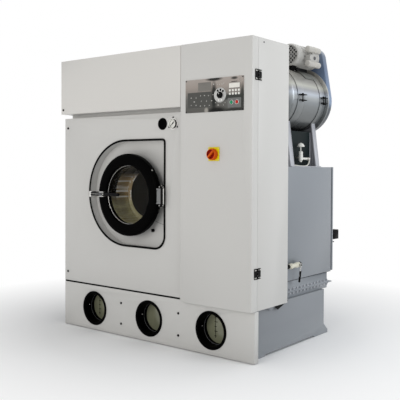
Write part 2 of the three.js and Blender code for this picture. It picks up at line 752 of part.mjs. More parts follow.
function drumHousing() {
  const { radius, front, back, wall, bearing, sides } = HOUSING;
  const { x, z } = DOOR;
  const rear = DRUM.shaft + 45;
  const outer = latheY(x, z, [
    [0, front],
    [radius - 20, front],
    [radius, front + 18],
    [radius, back],
    [rear + 60, back],
    [rear, back + 20],
    [rear, bearing],
    [0, bearing],
  ], sides);
  const sump = alongY([
    [x - SUMP.left, DECK],
    [x + SUMP.right, DECK],
    [x + SUMP.topRight, SUMP.top],
    [x - SUMP.topLeft, SUMP.top],
  ], SUMP.front, SUMP.back);
  const { foot, shoulder, top, inset, thick } = CRADLE;
  const cradles = [front + inset, back - inset - thick].map((y) =>
    alongY([
      [x - foot, DECK],
      [x + foot, DECK],
      [x + shoulder, top],
      [x - shoulder, top],
    ], y, y + thick));
  const inner = latheY(x, z, [
    [0, front + wall],
    [radius - 24, front + wall],
    [radius - wall, front + 20],
    [radius - wall, back - wall],
    [0, back - wall],
  ], sides);
  const mouthHole = rodY(x, z, MOUTH.radius + 4, front - 1, front + wall + 1);
  const bore = rodY(x, z, DRUM.shaft + 1, back - wall - 1, bearing + 1, 18);
  const body = cut(join(outer, sump, ...cradles), inner, mouthHole, bore);
  return node('drum_housing', body, metal('#9b9d9e', 0.4));
}

// Radial drills through the drum wall, in staggered rows, and rings of drills in its back.
function drumPerforations() {
  const { x, z } = DOOR;
  const { radius, front, back, rows, perRow, backRings } = DRUM;
  const drills = [];
  for (let row = 0; row < rows; row += 1) {
    const y = front + ((row + 1) * (back - front)) / (rows + 1);
    for (let i = 0; i < perRow; i += 1) {
      const angle = ((i + (row % 2) / 2) / perRow) * 2 * Math.PI;
      const drill = new THREE.CylinderGeometry(15, 15, 60, 6).rotateZ(-Math.PI / 2);
      drill.translate(radius, y, 0).rotateY(angle).translate(x, 0, z);
      drills.push(solid(drill));
    }
  }
  for (const { ring, count } of backRings) {
    for (let i = 0; i < count; i += 1) {
      const [hx, hz] = arc(x, z, ring, (360 * i) / count, 0, 1)[0];
      drills.push(rodY(hx, hz, 16, back - 20, back + 5, 6));
    }
  }
  return drills;
}

// Drum: a rolled shell with a turned-in lip, three lifting ribs and its shaft.
function drumBasket() {
  const { radius, front, back, wall, lip, shaft } = DRUM;
  const { x, z } = DOOR;
  const shaftEnd = DRUM_PULLEY.back + 22;
  const shell = latheY(x, z, [
    [lip, front],
    [radius, front],
    [radius, back],
    [shaft + 40, back],
    [shaft, back + 30],
    [shaft, shaftEnd],
    [0, shaftEnd],
    [0, back - wall],
    [radius - wall, back - wall],
    [radius - wall, front + wall],
    [lip, front + wall],
    [lip, front],
  ], 24);
  const rib = DRUM_RIB;
  const foot = radius - rib.sunk;
  const crest = radius - rib.height;
  const section = [[-rib.foot, -foot], [rib.foot, -foot], [rib.crest, -crest], [-rib.crest, -crest]];
  const ribs = [0, 120, 240].map((degrees) => {
    const turn = THREE.MathUtils.degToRad(degrees);
    const outline = section.map(([u, v]) => [
      x + u * Math.cos(turn) - v * Math.sin(turn),
      z + u * Math.sin(turn) + v * Math.cos(turn),
    ]);
    return alongY(outline, front + 30, back - wall + 1);
  });
  const body = join(cut(shell, ...drumPerforations()), ...ribs);
  return node('drum', body, metal(STEEL, 0.25));
}

// Rim section of a V-belt pulley, from the front to the back of its groove.
function grooveRim(radius, front, back, depth = 10) {
  const middle = (front + back) / 2;
  return [
    [radius, front],
    [radius - depth, middle - 4],
    [radius - depth, middle + 4],
    [radius, back],
  ];
}

function beltPulley(x, z, radius, front, back, bore, hub) {
  const rim = radius - 24;
  const middle = (front + back) / 2;
  return latheY(x, z, [
    [bore, front - 6],
    [hub, front - 6],
    [hub, middle - 6],
    [rim, middle - 6],
    [rim, front],
    ...grooveRim(radius, front, back),
    [rim, back],
    [rim, middle + 6],
    [hub, middle + 6],
    [hub, back + 6],
    [bore, back + 6],
    [bore, front - 6],
  ], PULLEY_SIDES);
}

function drumPulley() {
  const { x, z } = DOOR;
  const { radius, front, back, windows } = DRUM_PULLEY;
  const bore = (DRUM.shaft + GAP) / Math.cos(Math.PI / PULLEY_SIDES);
  const wheel = beltPulley(x, z, radius, front, back, bore, 62);
  const openings = Array.from({ length: windows }, (_, i) => {
    const [hx, hz] = arc(x, z, 134, (i * 360) / windows, 0, 1)[0];
    return rodY(hx, hz, 50, front - 1, back + 1, 6);
  });
  return node('drum_pulley', cut(wheel, ...openings), paint('#3b3d40', 0.5));
}

function driveMotor() {
  const { x, z, radius, front, back } = DRIVE_MOTOR;
  const body = latheY(x, z, [
    [0, front],
    [radius - 18, front],
    [radius - 4, front + 14],
    [radius, back - 18],
    [radius - 26, back],
    [0, back],
  ], 16);
  const finCount = 8;
  const fins = Array.from({ length: finCount }, (_, i) => {
    const fin = new THREE.BoxGeometry(9, 150, 3).translate(radius + 2, (front + back) / 2 + 16, 0);
    return solid(fin.rotateY((i / finCount) * 2 * Math.PI).translate(x, 0, z));
  });
  const feet = block(x - 80, x + 80, front + 80, back - 30, DECK, z - 60);
  const bore = rodY(x, z, 14.8, front + 80, back + 1, 12);
  return node('drive_motor', cut(join(body, ...fins, feet), bore), paint('#56707f', 0.5));
}

function drivePulley() {
  const { x, z, pulley } = DRIVE_MOTOR;
  const { front, back } = DRUM_PULLEY;
  const body = latheY(x, z, [
    [0, DRIVE_MOTOR.front + 90],
    [14, DRIVE_MOTOR.front + 90],
    [14, front],
    ...grooveRim(pulley, front, back),
    [0, back],
  ], 14);
  return node('drive_pulley', body, metal(DARK_STEEL, 0.45));
}

// A V-belt that lies in the grooves of two pulleys. Its inner facets clear the turning grooves.
function beltRound(big, small, front, back) {
  const middle = (front + back) / 2;
  const steps = 14;
  const widestHalfStep = THREE.MathUtils.degToRad(11);
  const clearance = 1 / Math.cos(widestHalfStep);
  const ring = (thickness) => {
    const r1 = (big.radius - BELT.sunk) * clearance + thickness;
    const r2 = (small.radius - BELT.sunk) * clearance + thickness;
    return beltOutline(big.x, big.z, r1, small.x, small.z, r2, steps);
  };
  return cut(
    alongY(ring(BELT.thick), middle - BELT.half, middle + BELT.half),
    alongY(ring(0), middle - BELT.half - 1, middle + BELT.half + 1),
  );
}

function drumBelt() {
  const big = { x: DOOR.x, z: DOOR.z, radius: DRUM_PULLEY.radius };
  const small = { x: DRIVE_MOTOR.x, z: DRIVE_MOTOR.z, radius: DRIVE_MOTOR.pulley };
  const belt = beltRound(big, small, DRUM_PULLEY.front, DRUM_PULLEY.back);
  return node('drum_belt', belt, plastic('#1b1b1b', 0.8));
}

// Air heater and condenser box on top of the drum housing, with the fan's scroll and motor.
function dryingUnit() {
  const { x, z } = DOOR;
  const { left, right, front, back, top, fan, hatch } = DRYER;
  const flue = DRYER.duct;
  const bottom = z + HOUSING.radius + 10;
  const casing = alongZ(roundedPlan(left, right, front, back, 8), bottom, top);
  const duct = alongY([
    [x - flue.neck, flue.bottom],
    [x + flue.neck, flue.bottom],
    [x + flue.mouth, bottom + 1],
    [x - flue.mouth, bottom + 1],
  ], front + flue.inset, HOUSING.back - flue.inset);
  const scroll = rodY(fan.x, fan.z, fan.scroll, back - 2, back + 80, 24);
  const fanMotor = rodY(fan.x, fan.z, fan.motor, back + 78, back + 180, 16);
  const cover = block(hatch.left, hatch.right, back - 2, back + 10, hatch.bottom, hatch.top);
  const housing = rodY(x, z, HOUSING.radius + 2 * GAP, front - 20, back, HOUSING.sides);
  const body = cut(join(casing, duct, scroll, fanMotor, cover), housing);
  return node('drying_unit', body, paint('#a3a7aa', 0.5));
}

// ---------------------------------------------------------------- still

function stillCasing() {
  const { left, side, front, back, bottom, top } = STILL;
  const { thick, groove, sunk } = STILL_COVER;
  const coverFront = back - thick;
  const end = coverFront - groove;
  const casing = alongZ(roundedPlan(left, side, front, end, 5), bottom, top);
  const neck = block(left + sunk, side - sunk, end - 1, coverFront + 1, bottom + sunk, top - sunk);
  const rearCover = alongZ(roundedPlan(left, side, coverFront, back, 2), bottom + 4, top);
  return node('still_casing', join(casing, neck, rearCover), paint(GREY_PAINT));
}

function stillBase() {
  const { left, side, front, back } = STILL_BASE;
  const body = block(left, side, front, back, DECK, STILL.bottom - GAP);
  const { z, thick, overhang } = FLANGE;
  const lower = block(left - overhang, FLANGE.side, front - overhang, FLANGE.back, z - thick, z);
  const upper = block(
    left - overhang + 2, FLANGE.side - 2, front - overhang + 2, back + overhang, z - 1, z + thick,
  );
  return node('still_base', join(body, lower, upper), paint(GREY_PAINT));
}

function levelBox() {
  const { front, bottom, top, side, width } = LEVEL_BOX;
  const box = alongX([
    [front, bottom + 4],
    [front + 4, bottom],
    [OVERALL_DEPTH.back, bottom],
    [OVERALL_DEPTH.back, top - 6],
    [OVERALL_DEPTH.back - 6, top],
    [front, top],
  ], side - width, side);
  const middle = side - width / 2;
  const neck = rodY(middle, (bottom + top) / 2, 16, STILL.back + GAP, front + 10, 16);
  const bracket = block(side - width, side - 8, STILL.back + GAP, front + 26, bottom - 22, bottom - 16);
  const stem = block(side - 30, side - 20, front + 8, front + 20, bottom - 18, bottom + 4);
  return node('level_box', join(box, neck, bracket, stem), plastic(BLACK, 0.4));
}

function ballValve() {
  const { x, z, front, middle, back, radius } = BALL_VALVE;
  const { out, thick, eye, bottom, swing, half } = VALVE_LEVER;
  const neck = radius - 6;
  const body = latheY(x, z, [
    [0, front],
    [neck, front],
    [neck, front + 40],
    [radius, front + 42],
    [radius, front + 66],
    [neck + 2, front + 72],
    [neck + 2, middle - 34],
    [radius, middle - 28],
    [radius, back],
    [0, back],
  ], 12);
  const outer = x + out;
  const inlet = rodX(front + neck + 2, z, 10, STILL.side + GAP, x, 10);
  const stem = rodX(middle, z, 6, x, outer + thick, 8);
  const ring = cut(
    rodX(middle, z, eye, outer, outer + thick, 12),
    rodX(middle, z, 6.6, outer - 1, outer + thick + 1, 8),
  );
  const arm = alongX([
    [middle + half, z - eye + 3],
    [middle - half, z - eye + 3],
    [middle - swing - half, bottom],
    [middle - swing + half, bottom],
  ], outer, outer + thick);
  return [
    node('ball_valve', join(body, stem, inlet), metal('#b7b3a4', 0.3)),
    node('ball_valve_lever', join(ring, arm), plastic(BLACK, 0.5)),
  ];
}

// ---------------------------------------------------------------- solvent filter

function filterStand() {
  const { front, back, leg, foot, shoulder, shoulderZ, plate, side } = STAND;
  const { x, z } = FILTER;
  const ground = STILL.top + GAP;
  const outline = (inset) => [
    [x - foot + inset, ground],
    [x + foot - inset, ground],
    [x + shoulder - inset, shoulderZ],
    [x - shoulder + inset, shoulderZ],
  ];
  const frame = (y0, y1, web) => join(
    cut(alongY(outline(0), y0, y1), alongY(outline(plate), y0 - 1, y1 + 1)),
    alongY(outline(1), web, web + plate),
  );
  const sides = [-1, 1].map((hand) => {
    const middle = x + hand * side.x;
    const half = side.thick / 2;
    return block(middle - half, middle + half, front + 2, back - 2, ground, side.top);
  });
  const sole = block(x - foot - 10, x + foot + 10, front - 6, back + 6, ground, ground + STAND.sole);
  const body = join(
    frame(front, front + leg, front),
    frame(back - leg, back, back - plate),
    ...sides,
    sole,
  );
  const cradle = rodY(x, z, FILTER.radius + BANDS.skin + 2 * GAP, front - 10, back + 10);
  return node('filter_stand', cut(body, cradle), paint('#b4b6bb'));
}

function filterHousing() {
  const { x, z, radius, front, shoulder, back, flange } = FILTER;
  const { skin, end, rim } = FILTER_WALL;
  const outer = latheY(x, z, [
    [0, front],
    [radius * 0.35, front + 4],
    [radius * 0.68, front + 18],
    [radius * 0.9, front + 42],
    [radius, shoulder],
    [radius, back - rim - 2],
    [flange, back - rim],
    [flange, back],
    [0, back],
  ]);
  const inner = latheY(x, z, [
    [0, front + skin],
    [radius * 0.66, front + 26],
    [radius - skin, shoulder],
    [radius - skin, back - end],
    [0, back - end],
  ], 16);
  const bore = rodY(x, z, FILTER_DISCS.shaft + 0.8, back - 20, back + 1, 16);
  return node('filter_housing', cut(outer, inner, bore), paint(FILTER_PAINT, 0.35));
}

// Clamping band: a split strip whose two lugs are drawn together by bolts.
function filterBand(name, [front, back], bolts) {
  const { x, z, radius } = FILTER;
  const { skin, lug, plate, reach, bolt } = BANDS;
  const inside = radius + GAP;
  const outside = inside + skin;
  const edge = x + outside;
  const strip = latheY(x, z, [
    [inside, front],
    [outside, front],
    [outside, back],
    [inside, back],
    [inside, front],
  ]);
  const split = block(edge - 20, edge + reach, front - 1, back + 1, z - lug + plate, z + lug - plate);
  const lugs = [-1, 1].map((side) => {
    const middle = z + side * (lug - plate / 2);
    return block(edge - 8, edge + reach, front + 14, back - 14, middle - plate / 2, middle + plate / 2);
  });
  const shell = rodY(x, z, inside, front - 1, back + 1, ROUND);
  const rods = bolts.map((y) => rodZ(edge + reach / 2, y, bolt, z - lug - 8, z + lug + 8, 6));
  return node(name, join(cut(join(cut(strip, split), ...lugs), shell), ...rods), paint('#8a8d8d', 0.4));
}

function filterBands() {
  const { front, rear } = BANDS;
  const middle = (front[0] + front[1]) / 2;
  const rearMiddle = (rear[0] + rear[1]) / 2;
  return [
    filterBand('filter_band_front', front, [middle]),
    filterBand('filter_band_rear', rear, [rearMiddle - 12, rearMiddle + 12]),
  ];
}

// Shaft with its stack of filter discs inside the housing and the driven pulley behind it.
function filterShaft() {
  const { count, radius, first, pitch, thick, shaft } = FILTER_DISCS;
  const profile = [[0, first - 30], [shaft, first - 30]];
  for (let i = 0; i < count; i += 1) {
    const y = first + i * pitch;
    profile.push([shaft, y], [radius, y + thick / 2], [shaft, y + thick]);
  }
  const { front, back } = FILTER_PULLEY;
  profile.push([shaft, back + 8], [0, back + 8]);
  const shaftBody = latheY(FILTER.x, FILTER.z, profile, 14);
  const pulley = latheY(FILTER.x, FILTER.z, [
    [0, front],
    ...grooveRim(FILTER_PULLEY.radius, front, back),
    [0, back],
  ], 22);
  return node('filter_shaft', join(shaftBody, pulley), metal(STEEL, 0.35));
}

function filterMotor() {
  const { x, z, radius, front, cover, back } = MOTOR;
  const start = front + cover + GAP;
  const body = latheY(x, z, [
    [0, start],
    [radius - 2, start],
    [radius - 2, start + 60],
    [radius, start + 62],
    [radius, back - 24],
    [radius - 20, back],
    [0, back],
  ], MOTOR_SIDES);
  const { left, right, bottom, inset } = MOTOR_FOOT;
  const foot = block(x - left, x - right, start + inset, back - inset, bottom, z - 50);
  const housing = rodY(FILTER.x, FILTER.z, FILTER.radius + BANDS.skin + 2 * GAP, start, back);
  const bore = rodY(x, z, MOTOR.shaft + 0.8, start - 1, back + 1, 12);
  return node('filter_motor', cut(join(body, cut(foot, housing)), bore), paint('#9a9b99', 0.45));
}

// Fan cover: a deep-drawn cap with a grid of square air holes in its face.
function fanCover() {
  const { x, z, radius, front, cover } = MOTOR;
  const back = front + cover;
  const cap = latheY(x, z, [
    [0, front],
    [radius - 16, front],
    [radius - 3, front + 6],
    [radius, front + 16],
    [radius, back],
    [radius - 3, back],
    [radius - 3, front + 16],
    [radius - 16, front + 4],
    [0, front + 4],
  ], MOTOR_SIDES);
  const holes = [];
  const pitch = 28;
  const reach = 2;
  for (let i = -reach; i <= reach; i += 1) {
    for (let k = -reach; k <= reach; k += 1) {
      const hx = ((i - k) * pitch) / Math.SQRT2;
      const hz = ((i + k) * pitch) / Math.SQRT2;
      if (Math.hypot(hx, hz) < radius - 20) {
        const drill = new THREE.BoxGeometry(20, 20, 20).rotateY(Math.PI / 4);
        holes.push(solid(drill.translate(x + hx, front + 2, z + hz)));
      }
    }
  }
  return node('fan_cover', cut(cap, ...holes), paint('#9a9b99', 0.45));
}

// Rotor shaft with the cooling fan in front and the small pulley behind.
function motorShaft() {
  const { x, z, front, cover, shaft, pulley } = MOTOR;
  const fanBack = front + cover - 8;
  const rod = latheY(x, z, [
    [0, front + 22],
    [18, front + 22],
    [18, fanBack],
    [shaft, fanBack],
    [shaft, FILTER_PULLEY.front],
    ...grooveRim(pulley, FILTER_PULLEY.front, FILTER_PULLEY.back),
    [0, FILTER_PULLEY.back],
  ], 14);
  const bladeCount = 5;
  const blades = Array.from({ length: bladeCount }, (_, i) => {
    const blade = new THREE.BoxGeometry(46, 20, 3).translate(37, front + 38, 0);
    return solid(blade.rotateY((i / bladeCount) * 2 * Math.PI).translate(x, 0, z));
  });
  return node('motor_shaft', join(rod, ...blades), metal(DARK_STEEL, 0.5));
}

function filterBelt() {
  const big = { x: FILTER.x, z: FILTER.z, radius: FILTER_PULLEY.radius };
  const small = { x: MOTOR.x, z: MOTOR.z, radius: MOTOR.pulley };
  const belt = beltRound(big, small, FILTER_PULLEY.front, FILTER_PULLEY.back);
  return node('filter_belt', belt, plastic('#1b1b1b', 0.8));
}

function beltGuard() {
  const { front, back, lower, upper, skin } = GUARD;
  const outline = (inset) => beltOutline(
    FILTER.x, FILTER.z, lower - inset, MOTOR.x, MOTOR.z, upper - inset, 20,
  );
  const shell = cut(alongY(outline(0), front, back), alongY(outline(skin), front + skin, back - skin));
  const shaftHole = rodY(FILTER.x, FILTER.z, GUARD.shaftHole, front - 1, front + skin + 1, 16);
  const motorHole = rodY(MOTOR.x, MOTOR.z, GUARD.motorHole, front - 1, front + skin + 1, 12);
  return node('belt_guard', cut(shell, shaftHole, motorHole), paint(GUARD_PAINT, 0.4));
}

// Terminal box on the motor's side, with a capacitor clipped above and below it.
function terminalBox() {
  const { front, back, bottom, top, reach, caps } = TERMINAL_BOX;
  const side = MOTOR.x + MOTOR.radius;
  const box = block(side - 12, side + reach, front, back, bottom, top);
  const axis = side + caps.out;
  const cans = caps.heights.map((z) => latheY(axis, z, [
    [0, caps.front],
    [caps.radius - 6, caps.front + 1],
    [caps.radius, caps.front + 9],
    [caps.radius, caps.back],
    [0, caps.back],
  ], 12));
  const clips = caps.heights.map((z) => {
    const [low, high] = z > top ? [top - 1, z] : [z, bottom + 1];
    return block(side + 16, axis, front + 46, back - 20, low, high);
  });
  const plugZ = (bottom + top) / 2;
  const plug = rodX(back - 42, plugZ, 12, side + reach - 2, side + reach + 6, 12);
  const motorBody = rodY(MOTOR.x, MOTOR.z, MOTOR.radius + 0.5, 700, 1100, MOTOR_SIDES);
  const body = cut(join(box, ...cans, ...clips, plug), motorBody);
  return node('terminal_box', body, paint('#a9aaa8', 0.45));
}

// ---------------------------------------------------------------- compressed-air valve and hose

function airValve() {
  const { x, y, bottom, body, outlet, cap, hoseEnd } = AIR_VALVE;
  const capFoot = bottom + 105;
  const valve = latheZ(x, y, [
    [0, bottom],
    [9, bottom],
    [9, bottom + 10],
    [body, bottom + 12],
    [body, bottom + 72],
    [4, bottom + 76],
    [4, capFoot - 1],
    [cap, capFoot],
    [cap, capFoot + 7],
    [cap - 8, capFoot + 21],
    [0, capFoot + 29],
  ], 10);
  const panel = FILTER.x + STAND.side.x + STAND.side.thick / 2;
  const bracket = block(panel + GAP, x, y - 10, y + 10, outlet - 2, outlet + 14);
  const elbow = rodY(x, outlet, 8, y, hoseEnd, 8);
  const nut = rodY(x, outlet, 12, hoseEnd - 34, hoseEnd - 14, 6);
  const barb = rodZ(x, hoseEnd, 6, outlet - 10, outlet + 8, 8);
  return node('air_valve', join(valve, bracket, elbow, nut, barb), metal('#bcbcb6', 0.35));
}

function airHose() {
  const { x, hoseEnd } = AIR_VALVE;
  const legBack = STAND.front + STAND.leg;
  const low = STILL.top + 13;
  const stops = [
    [x + 2, legBack + 12, low],
    [x + 6, legBack + 70, low],
    [x + 8, legBack + 130, low + 4],
    [x + 4, hoseEnd - 18, low + 15],
    [x, hoseEnd, low + 26],
    [x, hoseEnd, low + 34],
  ];
  const path = new THREE.CatmullRomCurve3(stops.map(([px, py, pz]) => new THREE.Vector3(px, py, pz)));
  const section = new THREE.Shape(
    arc(0, 0, HOSE_RADIUS, 0, 315, 7).map(([a, b]) => new THREE.Vector2(a, b)),
  );
  const hose = solid(new THREE.ExtrudeGeometry(section, { steps: 10, extrudePath: path }));
  return node('air_hose', hose, plastic('#d7d5cf', 0.4));
}

// ---------------------------------------------------------------- assembly

const machine = new THREE.Group();
const datum = new THREE.Group();
const depthCentre = (OVERALL_DEPTH.front + OVERALL_DEPTH.back) / 2;
datum.position.set((WIDTH - HINGE_REACH) / 2, -depthCentre, 0);
datum.add(
  baseTank(),
  plinthPanel(),
  ...PORT_NAMES.flatMap((_, index) => sightPort(index)),
  frontPanel(),
  doorRecess(),
  recessEdging(),
  hoodPanel(),
  bodyCasing(),
  columnCabinet(),
  ...columnHinges(),
  columnDoor(),
  electricalPanel(),
  controlFascia(),
  programKnob(),
  pushButton('start_button', BUTTONS.start, '#0f9a62'),
  pushButton('stop_button', BUTTONS.stop, '#c3261c'),
  ...mainSwitch(),
  flowWindow(),
  ...pressureGauge(),
  doorSeat(),
  doorRing(),
  doorGlass(),
  ...doorHinge(),
  latchLever(),
  latchKeeper(),
  loadingMouth(),
  drumHousing(),
  drumBasket(),
  drumPulley(),
  drumBelt(),
  driveMotor(),
  drivePulley(),
  dryingUnit(),
  stillCasing(),
  stillBase(),
  levelBox(),
  ...ballValve(),
  filterStand(),
  filterHousing(),
  ...filterBands(),
  filterShaft(),
  filterMotor(),
  fanCover(),
  motorShaft(),
  filterBelt(),
  beltGuard(),
  terminalBox(),
  airValve(),
  airHose(),
);
machine.add(datum);

export default machine;
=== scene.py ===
"""Dresses the dry cleaning machine: procedural finishes, smooth round parts, fasteners, marks,
studio and camera. Lengths are millimetres in the machine's own datum (floor below the front
right edge of the column, x right, y back) and are turned into the frame's metres at the end."""
import math

import bmesh
import bpy
from mathutils import Matrix, Vector


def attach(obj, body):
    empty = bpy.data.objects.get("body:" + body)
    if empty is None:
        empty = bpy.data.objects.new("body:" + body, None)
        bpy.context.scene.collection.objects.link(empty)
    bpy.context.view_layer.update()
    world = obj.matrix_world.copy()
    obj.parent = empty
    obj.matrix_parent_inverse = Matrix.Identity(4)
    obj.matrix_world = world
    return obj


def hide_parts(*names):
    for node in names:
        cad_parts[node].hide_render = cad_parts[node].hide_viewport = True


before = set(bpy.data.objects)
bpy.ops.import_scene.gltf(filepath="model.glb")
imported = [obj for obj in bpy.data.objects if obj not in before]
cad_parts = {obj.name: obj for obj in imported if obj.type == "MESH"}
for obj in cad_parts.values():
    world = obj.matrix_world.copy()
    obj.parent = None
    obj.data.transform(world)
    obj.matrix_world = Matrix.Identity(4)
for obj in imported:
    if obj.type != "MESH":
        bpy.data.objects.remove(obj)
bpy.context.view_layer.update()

# ---------------------------------------------------------------- named sizes (datum, mm)

MM = 0.001
ORIGIN = Vector((-854, 587, 0))
PANEL_FACE = 38
SEAT = PANEL_FACE - 0.3
DOOR = Vector((-1040, 0, 984))
RING = {"radius": 282, "front": 4, "back": 48, "opening": 199, "rebate": 36}
MOUTH_RADIUS = 198
RECESS = {"x": -1080, "z": 995, "radius": 363, "right": -717, "top": 22, "bottom": 90}
LATCH = {"x": -1265, "grip": -1091, "tip": -1371, "y": -14}
HINGE_PIN = (-722, 12)
PORTS = {"left": -1390, "middle": -859, "right": -330}
PORT_Z = 158
PORT_SCALE = {"left": -38, "right": -27}
DIAL = (-234, 1614)
BUTTONS = {"start": (-147, "green"), "stop": (-107, "red")}
BUTTON_Z = 1566
SWITCH = (-283, 1255)
WINDOW = (-739, 1459)
GAUGE = (-646, 1457)
FASCIA = {"left": -508, "right": -60, "bottom": 1515, "top": 1720, "face": -3.3}
DRUM = {"radius": 400, "front": 216, "back": 640, "lip": 164, "wall": 4}
HOUSING = {"radius": 450, "front": 150, "back": 690}
BASE_TOP = 317.3
DRUM_PULLEY = {"radius": 230, "front": 830, "back": 874}
DRIVE_MOTOR = {"x": -1530, "z": 440, "radius": 88, "front": 540, "back": 790}
FILTER = {"x": -300, "z": 1653, "radius": 217, "front": 545, "back": 1052, "flange": 243}
BANDS = {"front": ((655, 745), (696,), "filter_paint"), "rear": ((953, 1033), (981, 1005), "black_paint")}
LUG_DROP = 5
MOTOR = {"x": -205, "z": 1955, "radius": 78, "front": 742, "back": 1048}
GUARD = {"front": 1060, "back": 1114, "lower": 230, "upper": 85.6}
FILTER_PULLEY = {"radius": 190, "front": 1075, "back": 1099}
VALVE = {"x": -34, "z": 535, "middle": 590, "grip": 424, "swing": 20}
AIR_VALVE = (-128, 776)
HOSE_END = 892
HOSE_DIAMETER = 9
HOSE_ROUTE = [
    (-126, 674, 1193), (-124, 710, 1190.5), (-121, 752, 1186.5), (-120, 800, 1185.6), (-122, 838, 1187),
    (-125, 862, 1191.5), (-127, 880, 1202), (-128, 889, 1214), (-128, 892, 1234),
]
WIRE_DIAMETER = 3
WIRE_ROUTE = [
    (-892, 95, 815), (-880, 82, 817), (-850, 79, 815), (-815, 78, 805), (-782, 74, 797), (-752, 68, 794),
    (-722, 64, 791),
]
WING_NUT = (-870, 746)
HINGE_HEIGHTS = (1725, 542)
LEGENDS = [
    (-461, 1608, 8), (-422, 1606, 9), (-387, 1618, 8), (-355, 1618, 8), (-324, 1616, 8), (-288, 1619, 7),
    (-436, 1583, 10), (-380, 1585, 8), (-339, 1583, 8), (-299, 1583, 8), (-461, 1563, 8), (-422, 1561, 9),
    (-387, 1555, 8), (-353, 1555, 8), (-317, 1555, 8), (-284, 1683, 9), (-255, 1679, 6), (-238, 1678, 6),
    (-220, 1679, 6), (-207, 1683, 5), (-268, 1570, 8), (-248, 1554, 9), (-209, 1553, 6), (-196, 1566, 6),
]
LEFT, RIGHT = (-1, 0, 0), (1, 0, 0)
FRONT, BACK = (0, -1, 0), (0, 1, 0)
DOWN, UP = (0, 0, -1), (0, 0, 1)


def metres(point):
    return (Vector(point) - ORIGIN) * MM


# ---------------------------------------------------------------- finishes

FINISH = {}
COAT_ROUGHNESS = 0.08
ROUGH_SPREAD = 0.05
RELIEF_DEPTH = 0.0006


def linear(colour, factor=1.0):
    """An sRGB colour in steps of 0 to 255, made lighter or darker, as nodes take it."""
    steps = (c / 255 for c in colour)
    parts = (c / 12.92 if c <= 0.04045 else ((c + 0.055) / 1.055) ** 2.4 for c in steps)
    return (*(min(1.0, c * factor) for c in parts), 1)


def new_finish(name):
    FINISH[name] = made = bpy.data.materials.new(name)
    made.use_nodes = True
    return made.node_tree, made.node_tree.nodes["Principled BSDF"]


def feed(tree, node, inputs):
    """Sets a node's inputs, or links those whose value is a socket."""
    for name, value in inputs.items():
        if isinstance(value, bpy.types.NodeSocket):
            tree.links.new(value, node.inputs[name])
        else:
            node.inputs[name].default_value = value


def make(tree, kind, inputs=None, output=0, **options):
    """A new node with its options and inputs, as the output that is used of it."""
    node = tree.nodes.new("ShaderNode" + kind)
    for option, value in options.items():
        setattr(node, option, value)
    feed(tree, node, inputs or {})
    return node.outputs[output]


def axes(tree, space="Object"):
    """The x, y and z sockets of the object's coordinates or of its normal."""
    split = tree.nodes.new("ShaderNodeSeparateXYZ")
    feed(tree, split, {"Vector": make(tree, "TexCoord", output=space)})
    return split.outputs


def object_noise(tree, scale, stretch=(1, 1, 1), detail=3.0):
    """Noise fixed to the object, finer the larger the scale (cells per metre)."""
    place = make(tree, "Mapping", {"Vector": make(tree, "TexCoord", output="Object"), "Scale": stretch})
    return make(tree, "TexNoise", {"Vector": place, "Scale": scale, "Detail": detail}, "Fac")


def ranged(tree, value, low, high, start=0.3, end=0.7):
    limits = {"From Min": start, "From Max": end, "To Min": low, "To Max": high}
    return make(tree, "MapRange", {"Value": value, **limits}, "Result")


def mixed(tree, factor, first, second):
    return make(tree, "Mix", {"Factor": factor, "A": first, "B": second}, "Result", data_type="RGBA")


def height_tone(tree, stops):
    """A tone that changes with the height above the floor, through (metres, colour) stops."""
    bottom, top = stops[0][0], stops[-1][0]
    ramp = tree.nodes.new("ShaderNodeValToRGB")
    marks = ramp.color_ramp.elements
    for stop, (height, colour) in enumerate(stops):
        place = (height - bottom) / (top - bottom)
        mark = marks[stop] if stop < 2 else marks.new(place)
        mark.position = place
        mark.color = linear(colour)
    feed(tree, ramp, {"Fac": ranged(tree, axes(tree)["Z"], 0, 1, bottom, top)})
    return ramp.outputs["Color"]


def surface(
    name, colour, rough, patch, grain=(500, 0.02), bump=0.05, metal=0.0, gloss=0.5, coat=0.0,
    stretch=(1, 1, 1), shade=None,
):
    """A finish with broad patches, fine grain in colour and bump, and uneven roughness.

    patch and grain are (cells per metre, strength); shade is (strength, stops of height_tone), a tone by
    height that on several finishes is painted light and shade."""
    tree, shader = new_finish(name)
    broad = object_noise(tree, patch[0])
    fine = object_noise(tree, grain[0], stretch, detail=4.0)
    light, dark = linear(colour, 1 + patch[1]), linear(colour, 1 - patch[1])
    tone = mixed(tree, ranged(tree, broad, 0, 1), dark, light)
    tone = mixed(tree, ranged(tree, fine, 0, grain[1] * 6), tone, linear(colour, 0.8))
    if shade:
        tone = mixed(tree, shade[0], tone, height_tone(tree, shade[1]))
    relief = {"Height": fine, "Strength": bump, "Distance": RELIEF_DEPTH}
    feed(tree, shader, {
        "Base Color": tone,
        "Roughness": ranged(tree, broad, rough - ROUGH_SPREAD, rough + ROUGH_SPREAD),
        "Metallic": metal,
        "Specular IOR Level": gloss,
        "Coat Weight": coat,
        "Coat Roughness": COAT_ROUGHNESS,
        "Normal": make(tree, "Bump", relief),
    })


